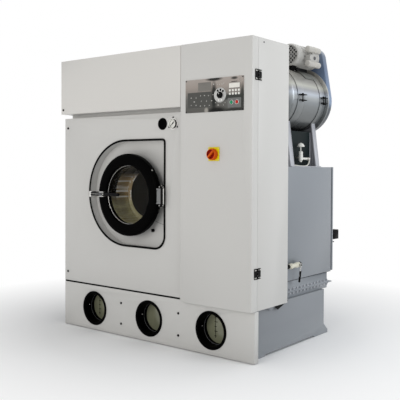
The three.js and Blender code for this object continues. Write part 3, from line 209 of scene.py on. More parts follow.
def perforated_steel(name, colour, pitch):
    """Stainless drum sheet with staggered round holes, wrapped round the drum's axis."""
    tree, shader = new_finish(name)

    def calc(kind, first, second):
        return make(tree, "Math", {0: first, 1: second}, operation=kind)

    def staggered(first, second):
        slants = {"X": calc("ADD", first, second), "Y": calc("SUBTRACT", first, second)}
        return make(tree, "CombineXYZ", slants)

    centre = metres(DOOR)
    place = axes(tree)
    across = calc("SUBTRACT", place["X"], centre.x)
    height = calc("SUBTRACT", place["Z"], centre.z)
    arc = calc("MULTIPLY", calc("ARCTAN2", height, across), DRUM["radius"] * MM)
    flat = calc("GREATER_THAN", calc("ABSOLUTE", axes(tree, "Normal")["Y"], 0), 0.7)
    sheets = {"Factor": flat, "A": staggered(arc, place["Y"]), "B": staggered(across, height)}
    sheet = make(tree, "Mix", sheets, "Result", data_type="VECTOR")
    holes = {"Vector": sheet, "Randomness": 0, "Scale": 1 / pitch}
    reach = make(tree, "TexVoronoi", holes, "Distance", voronoi_dimensions="2D")
    solid = ranged(tree, reach, 0, 1, 0.20, 0.24)
    feed(tree, shader, {
        "Base Color": mixed(tree, solid, linear((16, 16, 15)), linear(colour)),
        "Roughness": ranged(tree, solid, 0.8, 0.3, 0, 1),
        "Metallic": ranged(tree, solid, 0.2, 0.95, 0, 1),
    })


def painted_light_steel(name, dark, light, low, shadow_fade):
    """Bronze-tinted sheet with painted reflection streaks along y: olive low down, painted shadow (black)
    above the given heights.
    """
    tree, shader = new_finish(name)
    streaks = object_noise(tree, 48, (1, 0.03, 1), detail=1.5)
    start, end = 0.53, 0.58
    centre = metres(DOOR).z
    height = axes(tree)["Z"]
    tone = mixed(tree, ranged(tree, streaks, 0, 1, start, end), linear(dark), linear(light))
    tone = mixed(tree, ranged(tree, height, 1, 0, centre - 0.07, centre - 0.01), tone, linear(low))
    # Painted shadow: black above these heights.
    above = ranged(tree, height, 0, 1, centre + shadow_fade[0], centre + shadow_fade[1])
    feed(tree, shader, {
        "Base Color": mixed(tree, above, tone, linear((8, 7, 4))),
        "Metallic": ranged(tree, streaks, 0.55, 0.1, start, end),
        "Roughness": ranged(tree, streaks, 0.42, 0.2),
    })


def clear_glass(name, colour, alpha, rough=0.04):
    tree, shader = new_finish(name)
    smear = object_noise(tree, 14, detail=5.0)
    feed(tree, shader, {
        "Roughness": ranged(tree, smear, rough, rough * 2.5),
        "Base Color": mixed(tree, ranged(tree, smear, 0, 1), linear(colour), linear(colour, 1.25)),
        "Alpha": alpha,
    })


def add_spots(name, *spots):
    """Soft oval spots on a finish: x, z, half width and half height in datum mm, and colour."""
    tree = FINISH[name].node_tree
    shader = tree.nodes["Principled BSDF"]
    tone = shader.inputs["Base Color"].links[0].from_socket
    for x, z, wide, high, colour in spots:
        place = {"Vector": make(tree, "TexCoord", output="Object"), "Location": metres((x, 0, z))}
        place["Scale"] = (wide * MM, 1, high * MM)
        split = tree.nodes.new("ShaderNodeSeparateXYZ")
        feed(tree, split, {"Vector": make(tree, "Mapping", place, vector_type="TEXTURE")})
        level = make(tree, "CombineXYZ", {"X": split.outputs["X"], "Z": split.outputs["Z"]})
        reach = make(tree, "VectorMath", {0: level}, "Value", operation="LENGTH")
        tone = mixed(tree, ranged(tree, reach, 0.95, 0, 0.55, 1.15), tone, linear(colour))
    feed(tree, shader, {"Base Color": tone})


WHITE = (199, 198, 195)
TANK_GREY = (126, 130, 135)
# Painted light on the filter vessel by height: a painted highlight band just above its middle, and painted
# shade darkening towards its bottom.
FILTER_PAINTED_LIGHT = (
    (1.44, (50, 54, 56)), (1.496, (77, 82, 84)), (1.546, (92, 97, 99)), (1.597, (112, 117, 120)),
    (1.624, (127, 133, 138)), (1.651, (158, 163, 166)), (1.68, (184, 192, 203)), (1.707, (150, 152, 158)),
    (1.737, (182, 183, 174)), (1.765, (148, 147, 142)), (1.9, (144, 140, 132)),
)
# Painted light on the belt guard by height: painted shade on its lower part, painted highlights higher up and
# at its top.
GUARD_PAINTED_LIGHT = (
    (1.52, (28, 30, 33)), (1.6, (40, 44, 50)), (1.64, (128, 148, 176)), (1.76, (106, 126, 157)),
    (1.9, (88, 104, 130)), (1.98, (96, 108, 126)), (2.03, (138, 142, 148)),
)
# Painted reflection on the fascia steel by height: dark low down, lighter high up.
FASCIA_PAINTED_REFLECTION = ((1.53, (72, 73, 70)), (1.6, (96, 96, 93)), (1.67, (148, 139, 132)), (1.72, (158, 150, 144)))
GUSSET_TONES = ((0.315, TANK_GREY), (0.316, WHITE))
PLINTH_TONES = ((0, (176, 174, 170)), (0.16, WHITE))
# Painted light on the tank: lighter near the floor, darker higher up.
TANK_PAINTED_LIGHT = ((0, (152, 156, 160)), (0.16, (128, 132, 137)))
# Painted shade on the guard's back face: darker low down, lighter higher up.
GUARD_BACK_PAINTED_SHADE = ((1.42, (80, 94, 114)), (1.95, (106, 124, 148)))
# The motor foot: grey where it sits on the filter, black above 1.86 m as painted shadow under the motor.
FOOT_PAINTED_SHADOW = ((1.85, (128, 129, 124)), (1.86, (13, 13, 13)))

surface("hood_paint", (208, 206, 202), 0.36, (1.2, 0.012), bump=0.03, gloss=0.35)
surface("white_paint", WHITE, 0.36, (1.2, 0.012), bump=0.03, gloss=0.35)
surface("column_paint", WHITE, 0.36, (1.4, 0.012), bump=0.03, gloss=0.35)
surface("cabinet_paint", WHITE, 0.36, (1.4, 0.012), bump=0.03, gloss=0.35, shade=(1, GUSSET_TONES))
surface("plinth_paint", WHITE, 0.4, (2, 0.015), bump=0.03, gloss=0.35, shade=(0.3, PLINTH_TONES))
surface("still_paint", (132, 137, 143), 0.38, (2, 0.02), bump=0.04)
surface("tank_paint", (137, 141, 146), 0.46, (3, 0.03), bump=0.06, shade=(0.5, TANK_PAINTED_LIGHT))
surface("stand_paint", (182, 184, 190), 0.4, (8, 0.03))
surface("filter_paint", (158, 158, 155), 0.3, (6, 0.03), (900, 0.03), 0.03, 0.3, shade=(0.85, FILTER_PAINTED_LIGHT))
surface("motor_paint", (171, 170, 166), 0.42, (12, 0.04), (700, 0.04), 0.12)
surface("guard_paint", (98, 114, 134), 0.32, (5, 0.04), shade=(0.85, GUARD_PAINTED_LIGHT))
surface("guard_back", (96, 112, 134), 0.32, (5, 0.04), shade=(0.6, GUARD_BACK_PAINTED_SHADE))
surface("drive_paint", (84, 110, 126), 0.45, (12, 0.05), bump=0.12)
surface("dryer_paint", (163, 167, 170), 0.45, (3, 0.03), bump=0.06)
surface("gloss_black", (3, 3, 3), 0.24, (9, 0.2), (800, 0.05), 0.03, gloss=0.012)
surface("black_paint", (11, 11, 12), 0.42, (9, 0.1), (700, 0.05), 0.1, gloss=0.06)
surface("rubber", (12, 12, 12), 0.66, (20, 0.1), (1400, 0.08), 0.2, gloss=0.04)
surface("belt_rubber", (22, 22, 23), 0.75, (20, 0.1), (900, 0.1), 0.4, gloss=0.1)
surface("black_plastic", (12, 12, 13), 0.4, (20, 0.06), (2200, 0.05), 0.15, gloss=0.06)
surface("steel", (196, 196, 193), 0.22, (12, 0.05), (700, 0.05), 0.04, metal=1)
surface("dark_steel", (92, 93, 96), 0.42, (14, 0.08), (900, 0.06), 0.1, metal=0.9)
surface("zinc", (190, 188, 180), 0.34, (25, 0.09), (1200, 0.05), 0.08, metal=0.85)
surface("stainless", (178, 180, 181), 0.3, (6, 0.05), (220, 0.06), 0.1, metal=1, stretch=(1, 14, 14))
# Collar and liner finishes with painted reflection streaks and painted shadow above the door's centre.
painted_light_steel("bronze_steel", (184, 164, 128), (255, 254, 248), (186, 180, 144), (0.1, 0.15))
painted_light_steel("liner_steel", (172, 156, 120), (230, 220, 196), (176, 170, 132), (-0.05, 0.0))
surface("leaf_grey", (116, 117, 117), 0.4, (20, 0.05), (900, 0.04), 0.06, metal=0.2)
surface(
    "fascia_steel", (150, 142, 135), 0.3, (9, 0.16), (260, 0.05), metal=0.7, stretch=(0.6, 1, 30),
    shade=(0.9, FASCIA_PAINTED_REFLECTION),
)
surface("membrane", (76, 76, 73), 0.34, (14, 0.06), (1500, 0.03), gloss=0.2)
surface("label_plate", (112, 109, 104), 0.34, (12, 0.08), (1500, 0.03), metal=0.3)
surface("pad_plate", (98, 99, 97), 0.4, (20, 0.05), (1500, 0.03), 0.06)
surface("legend_grey", (176, 175, 170), 0.4, (60, 0.05), (1800, 0.03), 0.02)
surface("white_plastic", (226, 226, 220), 0.4, (30, 0.03), (1800, 0.03), 0.06)
surface("dial_silver", (182, 182, 180), 0.3, (30, 0.06), (1500, 0.04), 0.08, metal=0.6)
surface("display", (226, 223, 215), 0.18, (40, 0.03), (1200, 0.02), 0.02)
surface("green", (14, 138, 92), 0.25, (60, 0.08), (1800, 0.03), 0.04, gloss=0.2, coat=0.1)
surface("red", (184, 32, 18), 0.25, (60, 0.08), (1800, 0.03), 0.04, gloss=0.2, coat=0.1)
surface("switch_red", (212, 88, 18), 0.35, (40, 0.05), (1800, 0.03), 0.08, gloss=0.1)
surface("switch_deep", (136, 8, 2), 0.35, (40, 0.06), (1800, 0.03), 0.06, gloss=0.1)
surface("switch_yellow", (222, 208, 22), 0.4, (30, 0.03), (1800, 0.03), 0.06, gloss=0.1)
surface("sight_glass", (126, 127, 105), 0.12, (9, 0.12), (300, 0.03), 0.01, coat=0.3)
surface("bright_steel", (222, 221, 217), 0.34, (12, 0.04), (700, 0.03), 0.04, metal=0.8)
surface("keeper_steel", (222, 221, 217), 0.34, (12, 0.04), (700, 0.03), 0.04, metal=0.6)
surface("foot_paint", (132, 133, 128), 0.45, (9, 0.05), (700, 0.04), 0.06, gloss=0.2, shade=(1, FOOT_PAINTED_SHADOW))
surface("dark_glaze", (34, 33, 32), 0.3, (12, 0.2), (1500, 0.03), 0.03, gloss=0.15)
surface("valve_body", (212, 209, 192), 0.36, (30, 0.06), (1200, 0.04), 0.06, gloss=0.4)
surface("can_paint", (178, 176, 170), 0.36, (20, 0.04), (900, 0.03), gloss=0.35)
# Dark paint that also stands in for the shade inside the filter stand.
surface("stand_dark_and_shade", (28, 36, 37), 0.5, (8, 0.12), (900, 0.05), 0.06, gloss=0.08)
surface("hose", (224, 222, 212), 0.32, (60, 0.04), (1500, 0.03), 0.04, coat=0.2)
surface("wire", (118, 118, 117), 0.45, (60, 0.05), (1500, 0.04), 0.06)
perforated_steel("drum_sheet", (82, 79, 72), 0.02)
clear_glass("door_glass", (30, 27, 18), 0.1)
# Painted reflections on the fascia steel: soft dark spots and one light one.
add_spots(
    "fascia_steel", (-281, 1714, 64, 13, (24, 26, 24)), (-128, 1710, 26, 9, (52, 52, 49)),
    (-282, 1606, 24, 98, (30, 32, 30)), (-150, 1599, 140, 20, (50, 53, 50)), (-262, 1519, 80, 26, (6, 8, 6)),
    (-341, 1525, 17, 20, (150, 147, 140)), (-120, 1518, 100, 16, (42, 43, 40)),
    (-70, 1588, 15, 92, (50, 51, 48)),
)
add_spots("keeper_steel", (-1350, 984, 22, 60, (12, 12, 12)))


# ---------------------------------------------------------------- frames and outlines (datum, mm)


def along(axis, u=0.0, v=0.0, level=0.0):
    """Frame whose z runs along the datum's axis from a level, through (u, v) of the other two."""
    turns = {
        "x": ((0, 0, 1, level), (1, 0, 0, u), (0, 1, 0, v)),
        "y": ((0, 1, 0, u), (0, 0, 1, level), (1, 0, 0, v)),
        "z": ((1, 0, 0, u), (0, 1, 0, v), (0, 0, 1, level)),
    }
    return Matrix((*turns[axis], (0, 0, 0, 1)))


def spun(place, degrees):
    """The frame turned about its own z."""
    return place @ Matrix.Rotation(math.radians(degrees), 4, "Z")


def facing(point, normal):
    """Frame at a point whose z is the given direction."""
    return Matrix.Translation(Vector(point)) @ Vector(normal).to_track_quat("Z", "Y").to_matrix().to_4x4()


def polar(radius, turn):
    return radius * math.cos(turn), radius * math.sin(turn)


def around(centre, radius, degrees):
    a, b = polar(radius, math.radians(degrees))
    return centre[0] + a, centre[1] + b


def fan(centre, radius, start, end, steps):
    """Points on an arc, angles in degrees."""
    return [around(centre, radius, start + (end - start) * i / steps) for i in range(steps + 1)]


def ring_of(centre, radius, count, first=0.0):
    """Evenly spaced points round a centre, from the first one's angle in degrees."""
    return fan(centre, radius, first, first + 360, count)[:-1]


def rounded_box(x0, x1, z0, z1, radius, steps=5):
    return [
        *fan((x0 + radius, z0 + radius), radius, 180, 270, steps),
        *fan((x1 - radius, z0 + radius), radius, 270, 360, steps),
        *fan((x1 - radius, z1 - radius), radius, 0, 90, steps),
        *fan((x0 + radius, z1 - radius), radius, 90, 180, steps),
    ]


def wrapped(first, second, grow, steps):
    """Outline in (x, z) of a band laid round two circles (x, z, radius) and grown outwards."""
    (x1, z1, r1), (x2, z2, r2) = first, second
    dx, dz = x2 - x1, z2 - z1
    base = math.degrees(math.atan2(dz, dx))
    lean = math.degrees(math.acos((r1 - r2) / math.hypot(dx, dz)))
    return [
        *fan((x1, z1), r1 + grow, base + lean, base + 360 - lean, steps),
        *fan((x2, z2), r2 + grow, base - lean, base + lean, 32),
    ]


def eased(profile, radius, closed=False, steps=3):
    """The polyline with each corner rounded over at most radius."""
    points = [Vector(p) for p in profile]
    count = len(points)
    rounded = []
    for i, point in enumerate(points):
        if not closed and i in (0, count - 1):
            rounded.append(tuple(point))
            continue
        before = points[i - 1] - point
        after = points[(i + 1) % count] - point
        reach = min(radius, before.length * 0.45, after.length * 0.45)
        start = point + before.normalized() * reach
        end = point + after.normalized() * reach
        for t in (k / steps for k in range(steps + 1)):
            rounded.append(tuple(start * (1 - t) ** 2 + point * 2 * t * (1 - t) + end * t * t))
    return rounded


DOOR_AXIS = along("y", DOOR.x, DOOR.z)
FILTER_CENTRE = (FILTER["x"], FILTER["z"])
FILTER_AXIS = along("y", *FILTER_CENTRE)
MOTOR_CENTRE = (MOTOR["x"], MOTOR["z"])
MOTOR_AXIS = along("y", *MOTOR_CENTRE)


# ---------------------------------------------------------------- mesh making (datum, mm)


def soften(made, width, degrees):
    """Rounds the object's edges that bend by more than the angle."""
    edge = made.modifiers.new("edge", "BEVEL")
    edge.width = width * MM
    edge.segments = 2
    edge.limit_method = "ANGLE"
    edge.angle_limit = math.radians(degrees)
    edge.harden_normals = True


class Form:
    """A mesh in the making; its faces take the first finish unless another is named."""

    def __init__(self, *finishes):
        self.finishes = finishes
        self.mesh = bmesh.new()

    def face(self, corners, finish=None):
        made = self.mesh.faces.new(corners)
        made.material_index = self.finishes.index(finish) if finish else 0

    def loft(self, rings, finish=None, closed=False, caps=False):
        """Joins rings of points, each of the same count or a single point, with faces."""
        made = [[self.mesh.verts.new(p) for p in ring] for ring in rings]
        steps = max(len(ring) for ring in made)
        for low, high in zip(made, [*made[1:], made[0]] if closed else made[1:]):
            for i in range(steps):
                j = (i + 1) % steps
                corners = (low[i % len(low)], low[j % len(low)], high[j % len(high)], high[i % len(high)])
                corners = list(dict.fromkeys(corners))
                if len(corners) > 2:
                    self.face(corners, finish)
        if caps:
            self.face(made[0][::-1], finish)
            self.face(made[-1], finish)

    def lathe(self, place, profile, ease, steps, finish=None, closed=False):
        """Revolves (radius, height) pairs, eased at their corners, about the frame's z."""
        rings = []
        for radius, height in eased(profile, ease, closed) if ease else profile:
            count = steps if radius > 1e-6 else 1
            turns = (math.tau * i / steps for i in range(count))
            rings.append([place @ Vector((*polar(radius, t), height)) for t in turns])
        self.loft(rings, finish, closed)

    def prism(self, place, outline, low, high, finish=None):
        rings = [[place @ Vector((a, b, level)) for a, b in outline] for level in (low, high)]
        self.loft(rings, finish, caps=True)

    def plate(self, outline, front, back, finish=None, place=along("y")):
        """Prism between two depths whose outline is in (x, z)."""
        self.prism(place, [(z, x) for x, z in outline], front, back, finish)

    def box(self, x, y, z, finish=None, place=Matrix()):
        self.prism(place, [(x[0], y[0]), (x[1], y[0]), (x[1], y[1]), (x[0], y[1])], *z, finish)

    def screw(self, point, normal, r, finish=None):
        """Domed head of radius r with a hexagonal socket."""
        place = facing(point, normal)
        head = [(r, -0.6), (r, 0.25 * r), (0.78 * r, 0.55 * r), (0.5 * r, 0.62 * r)]
        self.lathe(place, head, 0, 24, finish)
        socket = [(0.5 * r, 0.62 * r), (0.42 * r, 0.5 * r), (0.4 * r, 0.1), (0, 0.1)]
        self.lathe(place, socket, 0, 6, finish)

    def bolt(self, point, normal, r, finish=None, stud=0.0):
        """Hexagonal head or nut on a washer, with a stud end where one is asked for."""
        place = facing(point, normal)
        self.lathe(place, [(1.35 * r, -0.6), (1.35 * r, 1.6), (0.8 * r, 1.6)], 0, 28, finish)
        self.lathe(place, [(r, 1.4), (r, 1.05 * r), (0.82 * r, 1.2 * r), (0, 1.2 * r)], 0, 6, finish)
        if stud:
            end = 1.2 * r + stud
            self.lathe(place, [(0.5 * r, r), (0.5 * r, end - 1), (0.4 * r, end), (0, end)], 0, 16, finish)

    def piece(self, name, node=None, slot=None, body="machine", bevel=0.0, sharp=38):
        """Turns the mesh into an object of the part, in metres, riding on a body."""
        bmesh.ops.remove_doubles(self.mesh, verts=self.mesh.verts, dist=0.001)
        bmesh.ops.recalc_face_normals(self.mesh, faces=self.mesh.faces)
        for vertex in self.mesh.verts:
            vertex.co = metres(vertex.co)
        mesh = bpy.data.meshes.new(name)
        self.mesh.to_mesh(mesh)
        self.mesh.free()
        for finish in self.finishes:
            mesh.materials.append(FINISH[finish])
        mesh.shade_smooth()
        mesh.set_sharp_from_angle(angle=math.radians(sharp))
        made = bpy.data.objects.new(name, mesh)
        bpy.context.scene.collection.objects.link(made)
        if bevel:
            soften(made, bevel, sharp)
        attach(made, body)
        if node:
            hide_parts(node)


# ---------------------------------------------------------------- carried-over nodes

KEPT = {
    "base_tank": ("tank_paint", 3),
    "plinth_panel": ("plinth_paint", 1.2),
    "front_panel": ("white_paint", 1.2),
    "door_recess": ("white_paint", 1.0),
    "hood_panel": ("hood_paint", 1.2),
    "body_casing": ("white_paint", 1.2),
    "column_cabinet": ("cabinet_paint", 1.2),
    "column_door": ("column_paint", 1.0),
    "column_hinge_upper": ("black_paint", 0.5),
    "column_hinge_lower": ("black_paint", 0.5),
    "electrical_panel": ("zinc", 1.2),
    "door_hinge_bracket": ("black_paint", 1.0),
    "door_hinge_leaf": ("leaf_grey", 1.0),
    "latch_keeper": ("keeper_steel", 1.2),
    "still_casing": ("still_paint", 2.0),
    "still_base": ("still_paint", 1.5),
    "level_box": ("black_plastic", 2.0),
    "filter_stand": ("stand_paint", 1.5),
    "drying_unit": ("dryer_paint", 3.0),
}


def dress_kept_nodes():
    """Paints the CAD nodes that stay, and softens their edges."""
    for name, (finish, width) in KEPT.items():
        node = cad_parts[name]
        node.data.materials.clear()
        node.data.materials.append(FINISH[finish])
        node.data.shade_smooth()
        weld = node.modifiers.new("weld", "WELD")
        weld.merge_threshold = 0.00002
        soften(node, width, 36)


# ---------------------------------------------------------------- sight ports, edging, instruments


def sight_ports():
    for name, x in PORTS.items():
        axis = along("y", x, PORT_Z)
        tube = Form("gloss_black", "steel", "dark_steel")
        wall = [
            (104, 34), (119, 34), (122, 36), (122, 37.7), (118.6, 37.7), (118.6, 122),
            (97, 122), (97, 110), (99, 108), (99, 96), (102, 94), (102, 36),
        ]
        tube.lathe(axis, wall, 2, 96, closed=True)
        for degrees in (176, -4):
            px, pz = around((x, PORT_Z), 101.6, degrees)
            tube.screw((px, 80, pz), (x - px, 0, PORT_Z - pz), 4, "steel")
        line = [(98.2, 96.4), (99.4, 96), (99.4, 98.6), (98.2, 98.2)]
        tube.lathe(axis, line, 0, 96, "dark_steel", closed=True)
        tube.piece(f"port_tube_{name}", f"sight_tube_{name}", "black_plastic")
        glass = Form("sight_glass", "black_plastic")
        glass.lathe(axis, [(0, 122.3), (114, 122.3), (114, 130.3), (0, 130.3)], 1, 96)
        if name in PORT_SCALE:
            mark = x + PORT_SCALE[name]
            depth = (121.7, 122.5)
            glass.box((mark - 1.8, mark + 1.8), depth, (PORT_Z - 66, PORT_Z + 88), "black_plastic")
            for step in range(-2, 3):
                z = PORT_Z + 6 + step * 30
                glass.box((mark - 8, mark + (16 if step % 2 else 9)), depth, (z - 2, z + 2), "black_plastic")
        glass.piece(f"port_glass_{name}", f"sight_glass_{name}", "port_glass")


def recess_edging():
    """Rubber bead of one section round the D-shaped cut-out."""
    bead = Form("rubber")
    x, z = RECESS["x"], RECESS["z"]
    rings = []
    for grow, y in eased([(-8, 37.7), (-8, 33.6), (-5, 33), (3, 33), (6, 33.6), (6, 37.7)], 1.5, closed=True):
        radius, edge, top, low = (RECESS[k] + grow for k in ("radius", "right", "top", "bottom"))
        outline = [
            *fan((edge - low, z - radius + low), low, 270, 360, 16),
            *fan((edge - top, z + radius - top), top, 0, 90, 10),
            *fan((x, z), radius, 90, 270, 64),
        ]
        rings.append([(a, y, b) for a, b in outline])
    bead.loft(rings, closed=True)
    bead.piece("edging_bead", "recess_edging", "black_rubber")


def flow_window():
    bezel = Form("gloss_black")
    rim = [
        (0, -1.5), (31, -1.5), (31, -4), (34, -5), (38.5, -3), (40, 0), (34, 0), (34, 38), (0, 38),
    ]
    bezel.lathe(along("y", *WINDOW, SEAT), rim, 1, 72)
    bezel.piece("window_bezel", "flow_window", "black_plastic")


def pressure_gauge():
    axis = along("y", *GAUGE, SEAT)
    body = Form("bright_steel", "white_plastic", "black_plastic", "dark_glaze")
    bowl = [
        (0, -6), (27, -6), (27.4, -13), (28.4, -15), (30, -15), (31, -13.5), (31, -3), (38, -3), (39, -1.5),
        (39, 0), (35, 0), (35, 34), (0, 34),
    ]
    white, dark = "white_plastic", "dark_glaze"
    for first, last, finish in ((0, 1, white), (1, 2, white), (2, 4, None), (4, 6, dark), (6, 12, None)):
        body.lathe(axis, bowl[first:last + 1], 0.8, 72, finish)
    for x, z in ring_of(GAUGE, 41, 3, 90):
        body.lathe(along("y", x, z, SEAT), [(0, -3), (6, -3), (6, 0), (0, 0)], 1, 24, "black_plastic")
        body.screw((x, SEAT - 3, z), FRONT, 3.4, "black_plastic")
    for i in range(25):
        length = 7 if i % 4 == 0 else 4
        place = spun(axis, 270 * i / 24 - 135)
        body.box((26 - length, 26), (-0.5, 0.5), (-6.5, -5.9), "black_plastic", place)
    body.lathe(axis, [(1.6, -8), (1.6, -5)], 0, 16)
    body.piece("gauge_body", "pressure_gauge", "polished_steel")
    needle = Form("black_paint")
    needle.lathe(axis, [(0, -12), (4, -12), (4, -9), (0, -9)], 1, 24)
    needle.plate([(-1.1, 1.1), (1.1, -1.1), (-16.8, -17.4), (-17.4, -16.8)], -11.5, -10.2, place=axis)
    needle.plate([(-2.6, 2.6), (2.6, -2.6), (14, 10), (10, 14)], -11.5, -10.2, place=axis)
    needle.piece("gauge_hand_needle", "gauge_pointer", "black_paint", "gauge_hand")


# ---------------------------------------------------------------- loading door


def door():
    radius, front, back, opening, rebate = RING.values()
    casting = Form("gloss_black", "steel", "dark_steel", "white_plastic")
    ring = [
        (opening, rebate), (opening + 1, front + 9), (opening + 5, front + 3), (opening + 12, front),
        (radius - 22, front), (radius - 8, front + 3), (radius, front + 12), (radius, back),
        (opening + 16, back), (opening + 16, rebate),
    ]
    casting.lathe(DOOR_AXIS, ring, 3, 128, closed=True)
    sleeve = [(opening - 1.3, 25), (opening + 0.6, 24), (opening + 0.6, 31), (opening - 1.3, 30)]
    casting.lathe(DOOR_AXIS, sleeve, 0.8, 128, "steel", closed=True)
    head = LATCH["y"] - 11
    pin = [(0, head - 4), (11, head - 4), (11, head), (7, head), (7, front + 10), (0, front + 10)]
    casting.lathe(along("y", LATCH["x"], DOOR.z), pin, 1, 32, "dark_steel")
    # A screw on the ring's side, painted white to stand for its glint.
    px, pz = around((DOOR.x, DOOR.z), radius, 37)
    casting.screw((px, 20, pz), (px - DOOR.x, 0, pz - DOOR.z), 4, "white_plastic")
    casting.piece("door_casting", "door_ring", "black_paint", "loading_door")
    pane = Form("door_glass")
    disc = [(0, 0.3), (opening + 14.5, 0.3), (opening + 14.5, 8.3), (0, 8.3)]
    pane.lathe(along("y", DOOR.x, DOOR.z, rebate), disc, 1, 128)
    pane.piece("door_pane", "door_glass", "door_glass", "loading_door")
    gasket = Form("rubber")
    seat = [
        (MOUTH_RADIUS, back + 6), (MOUTH_RADIUS + 6, back + 4), (244, back + 4), (248, back + 7),
        (246, back + 13), (247, back + 19), (240, back + 25), (242, back + 33), (236, back + 40),
        (236, 97.7), (MOUTH_RADIUS, 97.7),
    ]
    gasket.lathe(DOOR_AXIS, seat, 4, 128, closed=True)
    gasket.piece("door_gasket", "door_seat", "black_rubber")


def door_latch():
    """Lever with a forked black arm, a bright H-shaped bracket on the pin and a round black grip."""
    x, grip, tip, y = LATCH.values()
    z = DOOR.z
    lever = Form("steel", "black_plastic")
    eye = [(7.7, y - 9), (15, y - 9), (15, 3.6), (7.7, 3.6)]
    lever.lathe(along("y", x, z), eye, 1, 48, closed=True)
    for side in (-1, 1):
        level = z + side * 15
        lever.box((x - 20, x + 27), (y - 9, 3.6), (level - 3, level + 3))
        bar = z + side * 7.5
        lever.box((tip, x - 16), (y - 7, y + 7), (bar - 3.5, bar + 3.5), "black_plastic")
    lever.box((x - 8, x + 8), (y + 4, 3.6), (z - 15, z + 15))
    lever.lathe(along("x", y, z), [(0, tip + 22), (3.2, tip + 23), (3.2, x - 12)], 0.8, 20)
    stem = along("x", y, z, x)
    lever.lathe(stem, [(7, 12), (7, 30), (0, 30)], 1, 32)
    end = grip - x
    bar = [
        (0, 24), (8, 24), (11, 27), (11, 34), (10.2, 36), (10.2, 38), (11, 40), (11, end - 30),
        (10.2, end - 28), (10.2, end - 26), (11, end - 24), (11, end - 10), (8, end - 2.5), (0, end),
    ]
    lever.lathe(stem, bar, 2, 40, "black_plastic")
    lever.piece("latch_handle", "latch_lever", "polished_steel", "door_latch", bevel=0.6)


def hinge_fittings():
    """Dark sleeve on the hinge's barrel, bright strip behind it, and the bracket's screws."""
    z = DOOR.z
    pin = along("z", *HINGE_PIN, z)
    sleeve = Form("black_paint")
    sleeve.lathe(pin, [(8.5, -50.8), (8.5, 50.8), (6, 50.8), (6, -50.8)], 0.6, 32, closed=True)
    sleeve.piece("hinge_barrel_sleeve", body="loading_door")
    screws = Form("dark_steel")
    for dz in (-36, 36):
        screws.screw((-757, 5, z + dz), FRONT, 3.6)
    screws.piece("hinge_leaf_screws", body="loading_door")
    bright = Form("bright_steel")
    bright.box((-745, -725.6), (38.4, 40.2), (z - 50, z + 50))
    bright.box((-712.8, -705.5), (13, 15.5), (z - 53, z + 53))
    for side in (-1, 1):
        bright.screw((-738, 7.1, z + side * 61), (-0.37, -0.93, 0), 3.8)
        bright.screw((-713.8, 15, z + side * 61), (0.62, -0.78, 0), 3.8)
        bright.lathe(pin, [(0, side * 73), (4, side * 73), (5.5, side * 72), (5.5, side * 70)], 0, 24)
    bright.piece("hinge_bright_parts")


def loading_mouth():
    """Collar with two rolled beads, and the thin liner inside the door's seal."""
    r = MOUTH_RADIUS
    # The collar's finish paints reflection streaks and a shadow above the door's centre; the liner's finish
    # paints it black from the centre up.
    collar = Form("bronze_steel", "liner_steel")
    section = [
        (r, 98.3), (r + 4, 98.3), (r + 3.6, 140), (r + 3, 212), (r, 212), (r, 205), (r - 1.4, 202), (r, 199),
        (r, 120), (r - 1.4, 117), (r, 114),
    ]
    collar.lathe(DOOR_AXIS, section, 1, 128, closed=True)
    front = RING["back"] + 7
    liner = [(r - 1.6, front), (r - 0.3, front), (r - 0.3, 99), (r - 1.6, 99)]
    collar.lathe(DOOR_AXIS, liner, 0.4, 128, "liner_steel", closed=True)
    collar.piece("mouth_collar", "loading_mouth", "stainless")


# ---------------------------------------------------------------- drum and its drive


def drum():
    radius, front, back, lip, wall = DRUM.values()
    basket = Form("drum_sheet", "stainless", "bronze_steel")
    end, near = back - wall, front + wall
    basket.lathe(DOOR_AXIS, [(0, end), (radius - wall, end), (radius - wall, near), (lip + 8, near)], 4, 96)
    face = [
        (lip + 8, near), (lip + 1, near), (lip, front + 2), (lip + 2, front), (lip + 16, front + 0.5),
        (lip + 19, front + 2), (lip + 22, front), (radius, front),
    ]
    # The drum's front face takes the collar's finish, with its painted reflection streaks and painted shadow.
    basket.lathe(DOOR_AXIS, face, 1, 96, "bronze_steel")
    outside = [(radius, front), (radius, back), (75, back), (35, back + 30), (35, 896), (0, 896)]
    basket.lathe(DOOR_AXIS, outside, 4, 96)
    basket.lathe(DOOR_AXIS, [(34.9, 690), (35.2, 690), (35.2, 895), (0, 896.2)], 1, 48, "stainless")
    hub = [(0, end - 14), (34, end - 14), (44, end - 6), (60, end + 0.5)]
    basket.lathe(DOOR_AXIS, hub, 4, 64, "stainless")
    rib = [(-52, -397), (52, -397), (30, -360), (16, -330), (8, -322), (-8, -322), (-16, -330), (-30, -360)]
    for degrees in (0, 120, 240):
        basket.plate(rib, front + 30, end + 1, place=spun(DOOR_AXIS, -degrees))
    basket.piece("drum_basket", "drum", "stainless", "drum", bevel=1.5)


